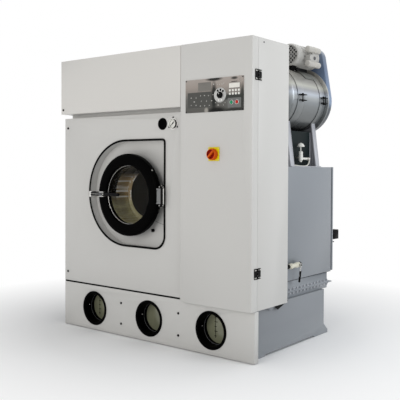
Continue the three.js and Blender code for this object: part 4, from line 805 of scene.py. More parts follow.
def drum_wheel():
    """V-belt wheel with a web between rim and hub, cut by round windows."""
    wheel = Form("black_paint")
    radius, front, back = DRUM_PULLEY.values()
    middle = (front + back) / 2
    near, far = middle - 6, middle + 6
    rim, hub, bore, windows, steps = radius - 24, 62, 35.3, 5, 8
    groove = [(radius, front), (radius - 10, middle - 4), (radius - 10, middle + 4), (radius, back)]
    wheel.lathe(DOOR_AXIS, [(rim, near), (rim, front), *groove, (rim, back), (rim, far)], 1.2, 96)
    inner = [(hub, far), (hub, back + 6), (bore, back + 6), (bore, front - 6), (hub, front - 6), (hub, near)]
    wheel.lathe(DOOR_AXIS, inner, 1.2, 48)
    centre = (rim + hub) / 2
    half = (rim - hub) / 2 * 0.78
    spread = math.pi / windows * 0.62

    def edge(window, side, t):
        """Point on a window's rim side (1) or hub side (-1), with t from 0 to pi across it."""
        return polar(centre + side * half * math.sin(t), math.tau * window / windows - spread * math.cos(t))

    def flat(points, level):
        wheel.face([wheel.mesh.verts.new(DOOR_AXIS @ Vector((*p, level))) for p in points])

    for level in (near, far):
        for w in range(windows):
            for k in range(steps):
                turns = [math.tau * (w + i / steps - 0.5) / windows for i in (k, k + 1)]
                across = [math.pi * i / steps for i in (k + 1, k)]
                for side, rail in ((1, rim), (-1, hub)):
                    flat([*(polar(rail, a) for a in turns), *(edge(w, side, t) for t in across)], level)
            last = math.tau * (w + 0.5) / windows
            flat([polar(rim, last), edge(w + 1, 1, 0), polar(hub, last), edge(w, 1, math.pi)], level)
    for w in range(windows):
        loop = [edge(w, 1, math.pi * k / steps) for k in range(steps)]
        loop += [edge(w, -1, math.pi * (1 - k / steps)) for k in range(steps)]
        wheel.loft([[DOOR_AXIS @ Vector((*p, level)) for p in loop] for level in (near, far)])
    wheel.piece("drum_wheel", "drum_pulley", "black_paint", "drum")


def belt(name, node, first, second, middle):
    """V-belt round two pulleys, each given as (x, z, the belt's inner radius)."""
    loop = Form("belt_rubber")
    section = [(0, -4.6), (8, -7), (8, 7), (0, 4.6)]
    rings = [[(x, middle + dy, z) for x, z in wrapped(first, second, out, 64)] for out, dy in section]
    loop.loft(rings, closed=True)
    loop.piece(name, node, "black_rubber")


def drum_drive():
    x, z, radius, front, back = DRIVE_MOTOR.values()
    middle = (DRUM_PULLEY["front"] + DRUM_PULLEY["back"]) / 2
    belt("drum_v_belt", "drum_belt", (DOOR.x, DOOR.z, 228.3), (x, z, 44.9), middle)
    axis = along("y", x, z)
    motor = Form("drive_paint", "zinc")
    shell = [
        (15, front), (radius - 30, front), (radius - 10, front + 6), (radius - 4, front + 16),
        (radius - 4, front + 60), (radius - 8, front + 62), (radius - 8, back - 44), (radius, back - 42),
        (radius, back - 16), (radius - 26, back), (15, back),
    ]
    motor.lathe(axis, shell, 3, 72)
    for i in range(24):
        fin = (radius - 12, radius - 0.5), (-1.3, 1.3), (front + 62, back - 43)
        motor.box(*fin, place=spun(axis, 15 * i))
    motor.box((x - 78, x + 78), (front + 82, back - 32), (BASE_TOP, 330))
    for side in (-1, 1):
        leg = x + side * 50
        motor.box((leg - 12, leg + 12), (front + 86, back - 36), (329, z - 52))
        for y in (front + 100, back - 50):
            motor.bolt((x + side * 66, y, 330), UP, 6.5, "zinc")
    motor.piece("drive_motor_body", "drive_motor", "grey_paint")
    wheel = Form("dark_steel")
    small = [
        (0, front + 90), (14, front + 90), (14, 826), (30, 828), (42, 830), (50, 830), (40, middle - 4),
        (40, middle + 4), (50, 874), (36, 874), (30, 868), (16, 868), (14, 873), (0, 873),
    ]
    wheel.lathe(axis, small, 1, 64)
    wheel.piece("drive_wheel", "drive_pulley", "dark_steel", "drive_motor_rotor")


def drum_housing():
    x, z = centre = DOOR.x, DOOR.z
    radius, front, back = HOUSING.values()
    inside = radius - 8
    housing = Form("stainless", "zinc")
    shell = [
        (202.5, front), (radius - 20, front), (radius, front + 18), (radius, front + 90),
        (radius - 3, front + 94), (radius - 3, back - 94), (radius, back - 90), (radius, back), (140, back),
        (80, back + 20), (80, 800), (36.5, 800), (36.5, back - 4), (inside, back - 4), (inside, front + 22),
        (radius - 24, front + 4), (202.5, front + 4),
    ]
    housing.lathe(DOOR_AXIS, shell, 4, 96, closed=True)
    trim = fan(centre, radius - 6, 302, 235, 20)
    housing.plate([(x - 190, BASE_TOP), (x + 150, BASE_TOP), *trim], 230, 600)
    saddle = fan(centre, radius - 4, 313, 227, 28)
    for y in (front + 12, back - 30):
        housing.plate([(x - 360, BASE_TOP), (x + 360, BASE_TOP), *saddle], y, y + 18)
    for px, pz in ring_of(centre, 112, 12):
        housing.bolt((px, back, pz), BACK, 6.5, "zinc")
    for px, pz in ring_of(centre, 62, 6, 30):
        housing.screw((px, 800, pz), BACK, 5, "zinc")
    housing.piece("drum_shell", "drum_housing", "stainless", bevel=1)


# ---------------------------------------------------------------- control panel and switch


def control_panel():
    """Fascia with its plates, keys, dial disc, legends, screws and button bezels."""
    left, right, bottom, top, face = FASCIA.values()
    panel = Form(
        "fascia_steel", "membrane", "label_plate", "pad_plate", "display", "white_plastic", "dial_silver",
        "black_plastic", "steel", "dark_glaze", "legend_grey",
    )
    dial = along("y", *DIAL, face)

    def slab(x0, x1, z0, z1, front, back, radius, finish):
        panel.plate(rounded_box(x0, x1, z0, z1, radius), front, back, finish, along("y", level=face))

    slab(left, right, bottom, top, 0, 3, 3, "fascia_steel")
    slab(-406, -304, 1646, 1699, -0.5, 0.1, 3, "label_plate")
    slab(-490, -301, 1544, 1640, -0.5, 0.1, 3, "membrane")
    slab(-176, -77, 1534, 1592, -2, 0.1, 4, "pad_plate")
    slab(-168, -85, 1650, 1682, -2, 0.1, 2, "pad_plate")
    slab(-166, -87, 1652, 1680, -2.6, -1.9, 1, "display")
    slab(-150, -108, 1687, 1691, -0.6, 0.1, 1, "dark_glaze")
    for z in (1637, 1617):
        for x in (-160, -138, -116, -94):
            slab(x - 6.5, x + 6.5, z - 6.5, z + 6.5, -1.8, 0.1, 3, "white_plastic")
    disc = [(0, -2), (43.5, -2), (44.5, -3), (45.5, -1.5), (45.5, 0.1)]
    panel.lathe(dial, disc, 0.6, 96, "dial_silver")
    petal = (24, -8), (34, -12), (38.5, -6), (38.5, 6), (34, 12), (24, 8)
    block = (27, -8), (38, -9), (38, 9), (27, 8)
    tick = (39.6, -0.5), (42.8, -0.5), (42.8, 0.5), (39.6, 0.5)
    marks = [(petal, angle, -2.6, "black_plastic") for angle in (46, 84, 122)]
    marks += [(block, angle, -2.6, "white_plastic") for angle in (252, 288)]
    marks += [(tick, angle, -2.5, "black_plastic") for angle in range(0, 360, 15)]
    for shape, angle, front, finish in marks:
        outline = [around((0, 0), r, angle + spread) for r, spread in shape]
        panel.plate(outline, front, -1.9, finish, dial)
    for i, (x, z, size) in enumerate(LEGENDS):
        if i % 3 == 0:
            slab(x - size / 2, x + size / 2, z - 3, z + 3, -0.8, -0.2, 1.4, "legend_grey")
        elif i % 3 == 1:
            slab(x - size / 2, x + size / 2, z - 1.5, z + 1.5, -0.8, -0.2, 0.5, "legend_grey")
            slab(x - 1.5, x + 1.5, z - 4, z + 4, -0.8, -0.2, 0.5, "legend_grey")
        else:
            dot = [(0, -0.8), (size / 2.4, -0.8), (size / 2.4, -0.2)]
            panel.lathe(along("y", x, z, face), dot, 0, 20, "legend_grey")
    for x in (left + 6, right - 6):
        for z in (bottom + 6, top - 6):
            panel.screw((x, face, z), FRONT, 4, "black_plastic")
    bezel = [(11, -2), (11, -4.5), (12.5, -5), (14.5, -3.5), (14.5, -1.9)]
    for x, _ in BUTTONS.values():
        panel.lathe(along("y", x, BUTTON_Z, face), bezel, 0.6, 48, "steel")
    panel.piece("control_plate", "control_fascia", "polished_steel", "column_door", bevel=0.3)


def dial_and_buttons():
    face = FASCIA["face"]
    dial = along("y", *DIAL, face)
    knob = Form("black_plastic", "white_plastic")
    profile = [
        (0, -15), (14, -15), (16.5, -13), (17.5, -7), (20, -6), (20, -3.4), (4, -3.4), (4, 15.3), (0, 15.3),
    ]
    knob.lathe(dial, profile, 1.2, 64)
    for i in range(20):
        knob.box((15, 18), (-0.8, 0.8), (-12.5, -7), place=spun(dial, 18 * i))
    knob.box((3, 13), (-1, 1), (-15.8, -14.5), "white_plastic", dial)
    knob.piece("dial_knob", "program_knob", "black_plastic", "program_dial")
    for name, (x, colour) in BUTTONS.items():
        cap = Form(colour)
        profile = [(0, -9), (8, -9), (10.4, -6.5), (10.4, 13.3), (0, 13.3)]
        cap.lathe(along("y", x, BUTTON_Z, face), profile, 1.6, 48)
        cap.piece(f"{name}_cap", f"{name}_button", f"{colour}_plastic", f"{name}_button")


def main_switch():
    x, z = SWITCH
    plate = Form("switch_yellow", "zinc")
    plate.plate(rounded_box(x - 40, x + 44, z - 40, z + 44, 4), -4, -0.3)
    for dz in (-33, 37):
        for dx in (-33, 37):
            plate.screw((x + dx, -4, z + dz), FRONT, 2.6, "zinc")
    plate.piece("switch_plate", "main_switch_plate", "yellow_plastic", "column_door", bevel=0.8)
    axis = along("y", x, z)
    knob = Form("switch_red", "switch_deep")
    profile = [
        (0, -24), (25, -24), (27, -25), (28, -34), (30, -35), (32, -33.5), (33, -30), (35, -6), (34, -5.2),
        (8, -5.2), (8, 24), (0, 24),
    ]
    knob.lathe(axis, profile[:4], 1.5, 72, "switch_deep")
    knob.lathe(axis, profile[3:], 1.5, 72)
    for i in range(28):
        knob.box((33, 35.4), (-1.4, 1.4), (-28, -7), place=spun(axis, 360 * i / 28))
    grip = eased([(-26, -5), (26, -5), (26, 5), (-26, 5)], 4, closed=True)
    knob.prism(spun(axis, 45), grip, -40, -23)
    knob.piece("switch_knob", "main_switch_knob", "red_plastic", "main_switch", bevel=1.2)


# ---------------------------------------------------------------- still and its fittings


def still_fittings():
    """Flange bolts, cover screws and gasket."""
    bolts = Form("stand_paint")
    for y in range(452, 1051, 46):
        bolts.bolt((-66.5, y, 369), UP, 6, stud=5)
        bolts.bolt((-66.5, y, 353), DOWN, 6.5, stud=8)
    for x in range(-100, -515, -46):
        bolts.bolt((x, 1066, 369), UP, 5, stud=4)
        bolts.bolt((x, 1090, 361), UP, 5, stud=3)
    bolts.piece("flange_bolts")
    screws = Form("black_paint")
    sides = [(x, z) for z in range(470, 1151, 136) for x in (-80, -530)]
    ends = [(x, z) for x in (-192, -304, -416) for z in (452, 1164)]
    for x, z in sides + ends:
        screws.screw((x, 1128, z), BACK, 5)
    screws.screw((-62, 500, 694), RIGHT, 5)
    screws.piece("still_cover_screws")
    gasket = Form("rubber")
    gasket.box((-540, -70), (1100.2, 1111.8), (441, 1172))
    gasket.box((-547, -63.4), (414, 1098), (430.5, 433.2))
    gasket.piece("still_gasket")


def drain_valve():
    x, z, middle, grip, swing = VALVE.values()
    axis = along("y", x, z)
    valve = Form("valve_body", "black_paint")
    cap = [(0, 445), (13, 445), (14, 447), (14, 470), (12, 472), (12, 484), (0, 484)]
    valve.lathe(axis, cap, 1.5, 40, "black_paint")
    body = [
        (0, 480), (13, 480), (13, 486), (16, 489), (19, 491), (19, 509), (15, 516), (14, 552), (15, 556),
        (18, 562), (18, 600), (15, 604), (0, 604),
    ]
    valve.lathe(axis, body, 2, 40)
    valve.lathe(axis, [(0, 602), (19, 602), (19, 618), (16, 622), (0, 622)], 1.5, 6, "black_paint")
    pipe = [(10, -61.7), (15, -61.7), (15, -54), (10, -52), (10, x)]
    valve.lathe(along("x", 460, z), pipe, 1, 32, "black_paint")
    stem = [(9, 15), (9, 20.4), (6, 20.6), (6, 27), (0, 27)]
    valve.lathe(along("x", middle, z, x), stem, 1, 24, "black_paint")
    valve.piece("drain_valve", "ball_valve", "zinc_plate")
    side = along("x", level=x + 21)
    handle = Form("steel", "rubber")
    eye = [(6.8, 0), (12, 0), (12, 4.5), (6.8, 4.5)]
    handle.lathe(along("x", middle, z, x + 21), eye, 0.6, 40, closed=True)
    foot = middle - swing
    strip = [(middle + 3.5, z - 9), (middle - 3.5, z - 9), (foot - 3.5, grip + 40), (foot + 3.5, grip + 40)]
    handle.prism(side, strip, 0.5, 4)
    top = grip + 73
    head = foot + swing / (z - 9 - grip) * 73
    sleeve = [
        (head + 10, top - 2), (head + 7, top), (head - 7, top), (head - 10, top - 2),
        (foot - 9.5, grip + 4), (foot - 7, grip), (foot + 7, grip), (foot + 9.5, grip + 4),
    ]
    handle.prism(side, sleeve, -0.2, 5, "rubber")
    handle.piece("valve_handle", "ball_valve_lever", "black_plastic", "ball_valve_lever", bevel=1)


def column_gusset():
    """Black corner plate below the column."""
    gusset = Form("black_paint")
    gusset.prism(along("x"), [(289, 317), (350.6, 277), (351.4, 277), (474, 317)], -40.4, -35.6)
    gusset.piece("column_gusset")


# ---------------------------------------------------------------- solvent filter


def filter_body():
    """Dished vessel with its flange bolts, and the two clamp bands with lugs, rods and nuts."""
    x, z, radius, _, back, flange = FILTER.values()
    vessel = Form("filter_paint")
    turns = [math.radians(degrees) for degrees in range(0, 90, 6)]
    dish = [(radius * math.sin(turn), 620 - 75 * math.cos(turn)) for turn in turns]
    shell = [
        *dish[1:], (radius, 620), (radius, back - 18), (flange, back - 16), (flange, back), (25, back),
        (25, back - 14), (radius - 8, back - 14), (radius - 8, 622), (radius * 0.66, 571), (0, 554),
    ]
    vessel.lathe(FILTER_AXIS, [dish[0], *eased(shell, 2.5)], 0, 112)
    for px, pz in ring_of(FILTER_CENTRE, 232, 16, 11.25):
        vessel.bolt((px, back - 16, pz), FRONT, 5)
    vessel.piece("filter_vessel", "filter_housing", "filter_paint")
    inside = radius + 0.4
    edge = x + inside + 3
    gap = math.degrees(math.asin(16 / radius))
    for name, ((y0, y1), rods, rear_trim) in BANDS.items():
        band = Form("filter_paint", "black_paint")
        section = eased([(inside, y0), (inside + 3, y0), (inside + 3, y1), (inside, y1)], 1, closed=True)
        arcs = [[(a, y, b) for a, b in fan(FILTER_CENTRE, r, gap, 360 - gap, 96)] for r, y in section]
        band.loft(list(zip(*arcs)), caps=True)
        for side in (-1, 1):
            level = z - LUG_DROP + side * 18.5
            band.box((edge - 3, edge + 26), (y0 + 14, y1 - 14), (level - 3, level + 3), "black_paint")
        hoop = [(inside + 2, 0), (inside + 3.6, 0), (inside + 3.6, 1.6), (inside + 2, 1.6)]
        for y, finish in ((y0 - 0.6, "black_paint"), (y1 - 1, rear_trim)):
            band.lathe(along("y", x, z, y), hoop, 0, 112, finish, closed=True)
        for y in rods:
            rod = along("z", edge + 13, y, z - LUG_DROP)
            band.lathe(rod, [(0, -30), (4, -29), (4, 29), (0, 30)], 0, 20, "black_paint")
            for side in (-22, 22):
                nut = [(0, side), (7.5, side), (7.5, side * 28 / 22), (0, side * 28 / 22)]
                band.lathe(rod, nut, 0, 6, "black_paint")
        band.piece(f"clamp_band_{name}", f"filter_band_{name}", "filter_paint", bevel=0.6)


def filter_motor():
    x, z, radius, _, back = MOTOR.values()
    motor = Form("motor_paint", "zinc", "black_paint", "foot_paint")
    shell = [
        (13, 800.4), (radius - 2, 800.4), (radius - 2, 858), (radius - 5, 862), (radius - 5, back - 46),
        (radius, back - 44), (radius, back - 24), (radius - 18, back - 4), (radius - 24, back), (13, back),
    ]
    motor.lathe(MOTOR_AXIS, shell, 2, 72)
    for i in range(28):
        fin = (radius - 8, radius - 1), (-1.1, 1.1), (863, back - 45)
        motor.box(*fin, place=spun(MOTOR_AXIS, 360 * i / 28))
    arch = fan(FILTER_CENTRE, 220.6, 66, 40, 10)
    # The foot's finish paints it black above 1.86 m, a painted shadow under the motor.
    motor.plate([*arch, (x - 12, 1832), (x - 12, 1905), (x - 72, 1905)], 842, 1006, "foot_paint")
    for px, pz in ring_of(MOTOR_CENTRE, 62, 4, 45):
        motor.bolt((px, back - 10, pz), BACK, 4.5, "zinc")
    motor.screw((x + radius - 2, 829, z - 9), RIGHT, 7, "black_paint")
    motor.piece("filter_motor_body", "filter_motor", "grey_paint", bevel=0.5)


def filter_drive():
    """The motor's fan and small pulley on their shaft, the disc shaft and its wheel, and the belt."""
    front = MOTOR["front"]
    radius, near, far = FILTER_PULLEY.values()
    middle = (near + far) / 2
    shaft = Form("dark_steel")
    rotor = [
        (0, front + 22), (18, front + 22), (18, 792), (12, 793), (12, near), (46, near), (52, near),
        (42, middle - 4), (42, middle + 4), (52, far), (0, far),
    ]
    shaft.lathe(MOTOR_AXIS, rotor, 1, 48)
    for i in range(7):
        place = spun(along("y", *MOTOR_CENTRE, front + 38), 360 * i / 7) @ Matrix.Rotation(0.35, 4, "X")
        shaft.box((14, 60), (-1.5, 1.5), (-9, 9), place=place)
    shaft.piece("motor_fan_shaft", "motor_shaft", "dark_steel", "filter_motor_rotor")
    rotor = Form("steel")
    wheel = [
        (0, near), (60, near), (64, middle - 5), (150, middle - 5), (158, near), (radius, near),
        (radius - 10, middle - 4), (radius - 10, middle + 4), (radius, far), (158, far), (150, middle + 5),
        (34, middle + 5), (26, far + 6), (24, far + 8), (0, far + 8),
    ]
    rotor.lathe(FILTER_AXIS, wheel, 1, 96)
    stack = [(0, 660), (24, 660)]
    for y in (690, 775, 860, 945):
        stack += [(24, y), (178, y + 4), (180, y + 6), (178, y + 8), (24, y + 12)]
    rotor.lathe(FILTER_AXIS, [*stack, (24, near + 1), (0, near + 1)], 0, 64)
    rotor.piece("filter_rotor", "filter_shaft", "polished_steel", "filter_spindle")
    belt("filter_v_belt", "filter_belt", (*FILTER_CENTRE, radius - 5.5), (*MOTOR_CENTRE, 46.9), middle)


def motor_rest():
    """Black rubber rest between the filter's shell and the front end of its motor; its black also stands in
    for the shadow in the gap under the motor.
    """
    shell = fan(FILTER_CENTRE, FILTER["radius"] + 0.3, 100, 63, 14)
    under = fan(MOTOR_CENTRE, MOTOR["radius"] - 1, 288, 222, 10)
    rest = Form("rubber")
    rest.plate([*shell, *under], 752, 806)
    rest.piece("motor_rest", bevel=1)


def fan_cover():
    """Drawn steel cap: a plain rim round a diagonal grille of crossing bars, dark behind."""
    radius = MOTOR["radius"]
    axis = along("y", *MOTOR_CENTRE, MOTOR["front"])
    grille = Form("motor_paint", "rubber")
    rim = radius - 15
    cap = [
        (rim, 3.5), (rim, 0.6), (radius - 13, 0), (radius - 6, 1.5), (radius - 1.5, 8), (radius, 18),
        (radius, 58), (radius - 3, 58), (radius - 3, 16), (radius - 12, 4),
    ]
    grille.lathe(axis, cap, 1.5, 96, closed=True)
    for degrees in (45, -45):
        for offset in range(-57, 58, 19):
            half = math.sqrt(rim**2 - offset**2)
            bar = (offset - 2.4, offset + 2.4), (-half - 1, half + 1), (0.8, 3)
            grille.box(*bar, place=spun(axis, degrees))
    grille.lathe(axis, [(20, 54), (radius - 3.2, 54), (radius - 3.2, 18)], 0, 72, "rubber")
    grille.piece("fan_grille", "fan_cover", "grey_paint")


def belt_guard():
    front, back, lower, upper = GUARD.values()
    circles = (*FILTER_CENTRE, lower), (*MOTOR_CENTRE, upper)
    guard = Form("guard_paint", "zinc", "guard_back")
    skin = [(3, front), (0.8, front + 0.8), (0, front + 3), (0, back - 5), (1.4, back - 1.4), (5, back)]
    rings = [[(x, y, z) for x, z in wrapped(*circles, -inset, 72)] for inset, y in skin]
    guard.loft(rings, caps=True)
    for face in guard.mesh.faces:
        if min(vert.co.y for vert in face.verts) > back - 0.01:
            face.material_index = guard.finishes.index("guard_back")
    for x, z in wrapped(*circles, -12, 72)[:92:13]:
        guard.screw((x, back, z), BACK, 4, "zinc")
    guard.piece("drive_guard", "belt_guard", "guard_paint")


def stand_lining():
    """Dark paint on the two side plates between the stand's legs, inside and out, which also stands in for
    the shade inside the stand.
    """
    lining = Form("stand_dark_and_shade")
    for side in (-132, 132):
        middle = FILTER["x"] + side
        lining.box((middle - 3.5, middle + 3.5), (668.2, 959.8), (1187, 1428.4))
    for y in (626.1, 1001):
        lining.box((-425, -175), (y, y + 0.9), (1187, 1420))
    lining.piece("stand_side_lining")


def terminal_box():
    """Terminal box on the motor's side, with a capacitor can above it and one below."""
    side = MOTOR["x"] + MOTOR["radius"]
    bottom, top = 1914, 1956
    box = Form("motor_paint", "dark_steel", "zinc", "can_paint")
    box.plate(rounded_box(side - 8, side + 38, bottom, top, 4), 824, 924)
    box.prism(along("x", level=side), rounded_box(822, 926, bottom - 1, top + 1, 4), 36, 40)
    for z in (bottom + 5, top - 5):
        for y in (828, 920):
            box.screw((side + 40, y, z), RIGHT, 2.6, "dark_steel")
    for z in (1992, 1893):
        can = [(0, 800), (16, 800.6), (21, 804), (22, 810), (22, 954), (20, 960), (0, 962)]
        box.lathe(along("y", side + 30, z), can, 2, 48, "can_paint")
        strap = [(22, 878), (22.6, 878), (22.6, 896), (22, 896)]
        box.lathe(along("y", side + 30, z), strap, 0, 48, "zinc", closed=True)
    for span in ((top - 1, 1976), (1910, bottom + 1)):
        box.box((side + 16, side + 34), (868, 906), span)
    boss = [(12, 39), (12, 44), (9, 46), (7, 46), (6, 43), (0, 43)]
    box.lathe(along("x", 884, 1935, side), boss, 0.8, 32, "dark_steel")
    box.piece("capacitor_box", "terminal_box", "grey_paint", bevel=0.6)


# ---------------------------------------------------------------- hose, wire and their fittings


def route_through(stops, count, dense_steps=30):
    """Evenly spaced points on the smooth curve through the stops."""
    points = [Vector(p) for p in stops]
    points = [points[0] * 2 - points[1], *points, points[-1] * 2 - points[-2]]
    dense = []
    for a, b, c, d in zip(points, points[1:], points[2:], points[3:]):
        for t in (k / dense_steps for k in range(dense_steps)):
            bend = (2 * a - 5 * b + 4 * c - d) * t * t + (3 * b - a - 3 * c + d) * t**3
            dense.append(0.5 * (2 * b + (c - a) * t + bend))
    dense.append(points[-2])
    travelled = [0.0]
    for a, b in zip(dense, dense[1:]):
        travelled.append(travelled[-1] + (b - a).length)
    picked = []
    k = 0
    for i in range(count):
        aim = travelled[-1] * i / (count - 1)
        while k < len(dense) - 2 and travelled[k + 1] < aim:
            k += 1
        share = (aim - travelled[k]) / (travelled[k + 1] - travelled[k])
        picked.append(dense[k].lerp(dense[k + 1], min(1.0, share)))
    return picked


def hose(name, stops, diameter, finish, count, stands_for=()):
    """A tube between two fittings on the machine."""
    route = [metres(p) for p in route_through(stops, count)]
    data = bpy.data.curves.new(name, "CURVE")
    data.dimensions = "3D"
    data.bevel_depth = diameter * MM / 2
    data.bevel_resolution = 6
    data.resolution_u = 4
    data.use_fill_caps = True
    spline = data.splines.new("BEZIER")
    spline.bezier_points.add(count - 1)
    for target, point in zip(spline.bezier_points, route):
        target.co = point
        target.handle_left_type = target.handle_right_type = "AUTO"
    data.materials.append(FINISH[finish])
    made = bpy.data.objects.new(name, data)
    bpy.context.scene.collection.objects.link(made)
    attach(made, "machine")
    if stands_for:
        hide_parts(*stands_for)


def air_fittings():
    """Compressed-air valve with its cap and elbow, and the union that the hose starts from."""
    x, y = AIR_VALVE
    valve = Form("white_plastic", "zinc")
    body = [
        (0, 1214), (9, 1214), (9, 1223), (13, 1225), (15, 1228), (15, 1262), (13.5, 1264), (15, 1266),
        (15, 1284), (11, 1288), (4, 1290), (4, 1317), (22, 1319), (26, 1321), (26, 1325), (22, 1332),
        (15, 1341), (0, 1348),
    ]
    valve.lathe(along("z", x, y), body, 1.5, 48)
    valve.box((-164.6, x), (y - 10, y + 10), (1236, 1252), "zinc")
    outlet = along("y", x, 1238)
    valve.lathe(outlet, [(0, y), (8, y), (8, HOSE_END + 4), (0, HOSE_END + 8)], 2, 28)
    valve.lathe(outlet, [(0, 858), (12, 858), (12, 878), (0, 878)], 0.8, 6, "zinc")
    valve.lathe(along("z", x, HOSE_END), [(0, 1224), (6.5, 1224), (6.5, 1246), (0, 1246)], 1, 28, "zinc")
    valve.piece("pilot_valve", "air_valve", "zinc_plate", bevel=0.5)
    union = Form("white_plastic", "zinc")
    start = HOSE_ROUTE[0]
    profile = [
        (0, 626), (9, 626), (9, 631), (6.5, 632), (6.5, 664), (8, 666), (8, 676), (6, 679), (6, 682),
        (0, 682),
    ]
    union.lathe(along("y", start[0], start[2]), profile, 0.8, 28, "zinc")
    union.piece("hose_union")


def recess_trim():
    """Wing nut on the recess's floor, and the grommets at the wire's two ends."""
    nut = Form("black_plastic")
    x, z = WING_NUT
    axis = along("y", x, z)
    nut.screw((x, 97.5, z), FRONT, 8)
    for degrees in (35, 125):
        nut.box((-13, 13), (-3.5, 3.5), (82, 93), place=spun(axis, degrees))
    nut.lathe(axis, [(0, 78), (6, 78), (6, 96), (0, 96)], 1, 24)
    nut.piece("recess_wing_nut", bevel=1.5)
    grommets = Form("white_plastic")
    for point, normal in ((WIRE_ROUTE[0], FRONT), (WIRE_ROUTE[-1], LEFT)):
        grommets.lathe(facing(point, normal), [(0, -3), (5, -3), (5, 2), (3, 5), (0, 5)], 1, 24)
    grommets.piece("wire_grommets")


# ---------------------------------------------------------------- panel fasteners


def panel_fasteners():
    screws = Form("black_paint")
    for x, z in ((-1121, 229), (-1121, 85), (-597, 229), (-597, 85), (-1681, 1459), (-1681, 397)):
        screws.screw((x, PANEL_FACE, z), FRONT, 8.2)
    screws.screw((-1690, 0, 1592), FRONT, 8.2)
    screws.piece("panel_screws")
    screw = Form("dark_steel")
    screw.screw((0, 119, 1926), RIGHT, 5)
    screw.piece("column_screw")
    seal = Form("rubber")
    seal.box((-1713, -557), (40, 80), (321.4, 330.6))
    seal.box((-1700, -560), (36.8, 39.2), (320.6, 331.4))
    seal.piece("plinth_joint_seal")


def column_hinges():
    """The leaves and knuckles on the column's door, and the screws of both leaves."""
    leaves = Form("black_paint")
    for z in HINGE_HEIGHTS:
        leaves.prism(along("x"), rounded_box(26.6, 57, z - 32.4, z + 32.4, 3), 0.2, 3.4)
        for low in (z - 32, z + 32 / 3 + 0.3):
            leaves.lathe(along("z", 4, 61, low), [(0, 0), (4, 0), (4, 20.8), (0, 20.8)], 0, 40)
            leaves.box((0.6, 3.4), (56, 61), (low, low + 20.8))
    leaves.piece("hinge_door_leaves", body="column_door", bevel=0.4)
    # White screw heads, which also stand in as painted glints along the black leaves.
    for body, shift in (("machine", 1), ("column_door", -1)):
        screws = Form("white_plastic")
        for z in HINGE_HEIGHTS:
            for dz in (-23, 23):
                screws.screw((3.2, 61 + shift * 26, z + dz), RIGHT, 4)
                screws.screw((3.2, 61 + shift * 12, z + dz), RIGHT, 2.6)
        screws.piece(f"hinge_screws_{body}", body=body)


# ---------------------------------------------------------------- studio and camera

LAMPS = {
    "softbox_front": ((0.3, -5.4, 2.2), (-0.1, -0.6, 1.0), 3.0, 66, (1, 0.975, 0.94)),
    "softbox_side": ((4.6, 0.6, 2.5), (0.8, 0.0, 1.0), 2.6, 66, (0.92, 0.96, 1)),
    "softbox_top": ((0.6, 0.2, 4.6), (0.0, 0.1, 1.6), 2.6, 55, (1, 1, 1)),
}
CAMERA_PLACE = (3.10894, -3.86730, 1.1790)
CAMERA_TURN = {"azimuth": 38.123, "elevation": 1.107, "roll": 0.257}
CAMERA_LENS = {"sensor_width": 36, "lens": 60.97, "shift_x": -0.0226, "shift_y": -0.0504}


def studio_world():
    """A soft cool sky that seen, glossy and transmitted rays see as white."""
    scene = bpy.context.scene
    scene.view_settings.view_transform = "Standard"
    scene.world = bpy.data.worlds.new("studio")
    scene.world.use_nodes = True
    tree = scene.world.node_tree
    tree.nodes.clear()
    light = make(tree, "Background", {"Color": (0.97, 0.985, 1, 1), "Strength": 0.5})
    white = make(tree, "Background", {"Color": (1, 1, 1, 1), "Strength": 1})
    rays = tree.nodes.new("ShaderNodeLightPath").outputs
    seen = rays["Is Camera Ray"]
    for ray in ("Is Glossy Ray", "Is Transmission Ray"):
        seen = make(tree, "Math", {0: seen, 1: rays[ray]}, operation="ADD", use_clamp=True)
    mix = make(tree, "MixShader", {"Fac": seen, 1: light, 2: white})
    feed(tree, tree.nodes.new("ShaderNodeOutputWorld"), {"Surface": mix})


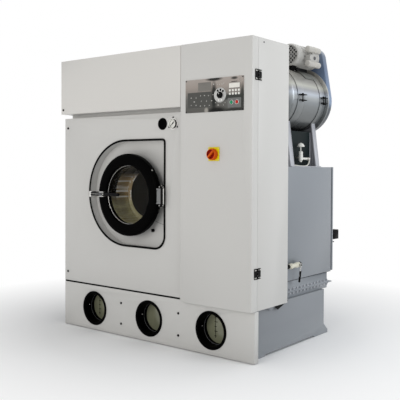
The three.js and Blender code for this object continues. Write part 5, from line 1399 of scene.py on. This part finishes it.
def studio_floor():
    """A pale floor that turns to plain white away from the machine."""
    tree, shader = new_finish("studio_floor")
    feed(tree, shader, {"Base Color": (0.9, 0.9, 0.9, 1), "Roughness": 0.9, "Specular IOR Level": 0})
    glow = make(tree, "Emission", {"Strength": 1})
    length = {0: make(tree, "TexCoord", output="Object")}
    reach = make(tree, "VectorMath", length, "Value", operation="LENGTH")
    far = ranged(tree, reach, 0, 1, 1.1, 2.6)
    blend = make(tree, "MixShader", {"Fac": far, 1: shader.outputs["BSDF"], 2: glow})
    feed(tree, tree.nodes["Material Output"], {"Surface": blend})
    grid = bmesh.new()
    bmesh.ops.create_grid(grid, x_segments=8, y_segments=8, size=40)
    mesh = bpy.data.meshes.new("studio_floor")
    grid.to_mesh(mesh)
    grid.free()
    mesh.materials.append(FINISH["studio_floor"])
    floor = bpy.data.objects.new("studio_floor", mesh)
    bpy.context.scene.collection.objects.link(floor)


def studio_lamps():
    for name, (at, target, size, power, colour) in LAMPS.items():
        data = bpy.data.lights.new(name, "AREA")
        data.shape = "SQUARE"
        data.size = size
        data.energy = power
        data.color = colour
        lamp = bpy.data.objects.new(name, data)
        bpy.context.scene.collection.objects.link(lamp)
        lamp.location = at
        lamp.rotation_euler = (Vector(target) - Vector(at)).to_track_quat("-Z", "Y").to_euler()


def camera():
    azimuth, elevation, roll = (math.radians(a) for a in CAMERA_TURN.values())
    level = math.cos(elevation)
    forward = Vector((-math.sin(azimuth) * level, math.cos(azimuth) * level, -math.sin(elevation)))
    right = Vector((math.cos(azimuth), math.sin(azimuth), 0))
    up = right.cross(forward)
    across = right * math.cos(roll) + up * math.sin(roll)
    above = up * math.cos(roll) - right * math.sin(roll)
    data = bpy.data.cameras.new("photo_view")
    for setting, value in CAMERA_LENS.items():
        setattr(data, setting, value)
    made = bpy.data.objects.new("photo_view", data)
    bpy.context.scene.collection.objects.link(made)
    turn = Matrix((across, above, -forward)).transposed()
    made.matrix_world = Matrix.Translation(CAMERA_PLACE) @ turn.to_4x4()
    bpy.context.scene.camera = made


camera()
hose("air_hose_tube", HOSE_ROUTE, HOSE_DIAMETER, "hose", 24, ("air_hose",))
hose("recess_wire", WIRE_ROUTE, WIRE_DIAMETER, "wire", 20)
studio_world()
studio_floor()
studio_lamps()
dress_kept_nodes()
sight_ports()
recess_edging()
flow_window()
pressure_gauge()
door()
door_latch()
hinge_fittings()
loading_mouth()
drum()
drum_wheel()
drum_drive()
drum_housing()
control_panel()
dial_and_buttons()
main_switch()
still_fittings()
drain_valve()
column_gusset()
filter_body()
filter_motor()
fan_cover()
filter_drive()
motor_rest()
belt_guard()
stand_lining()
terminal_box()
air_fittings()
panel_fasteners()
column_hinges()
recess_trim()
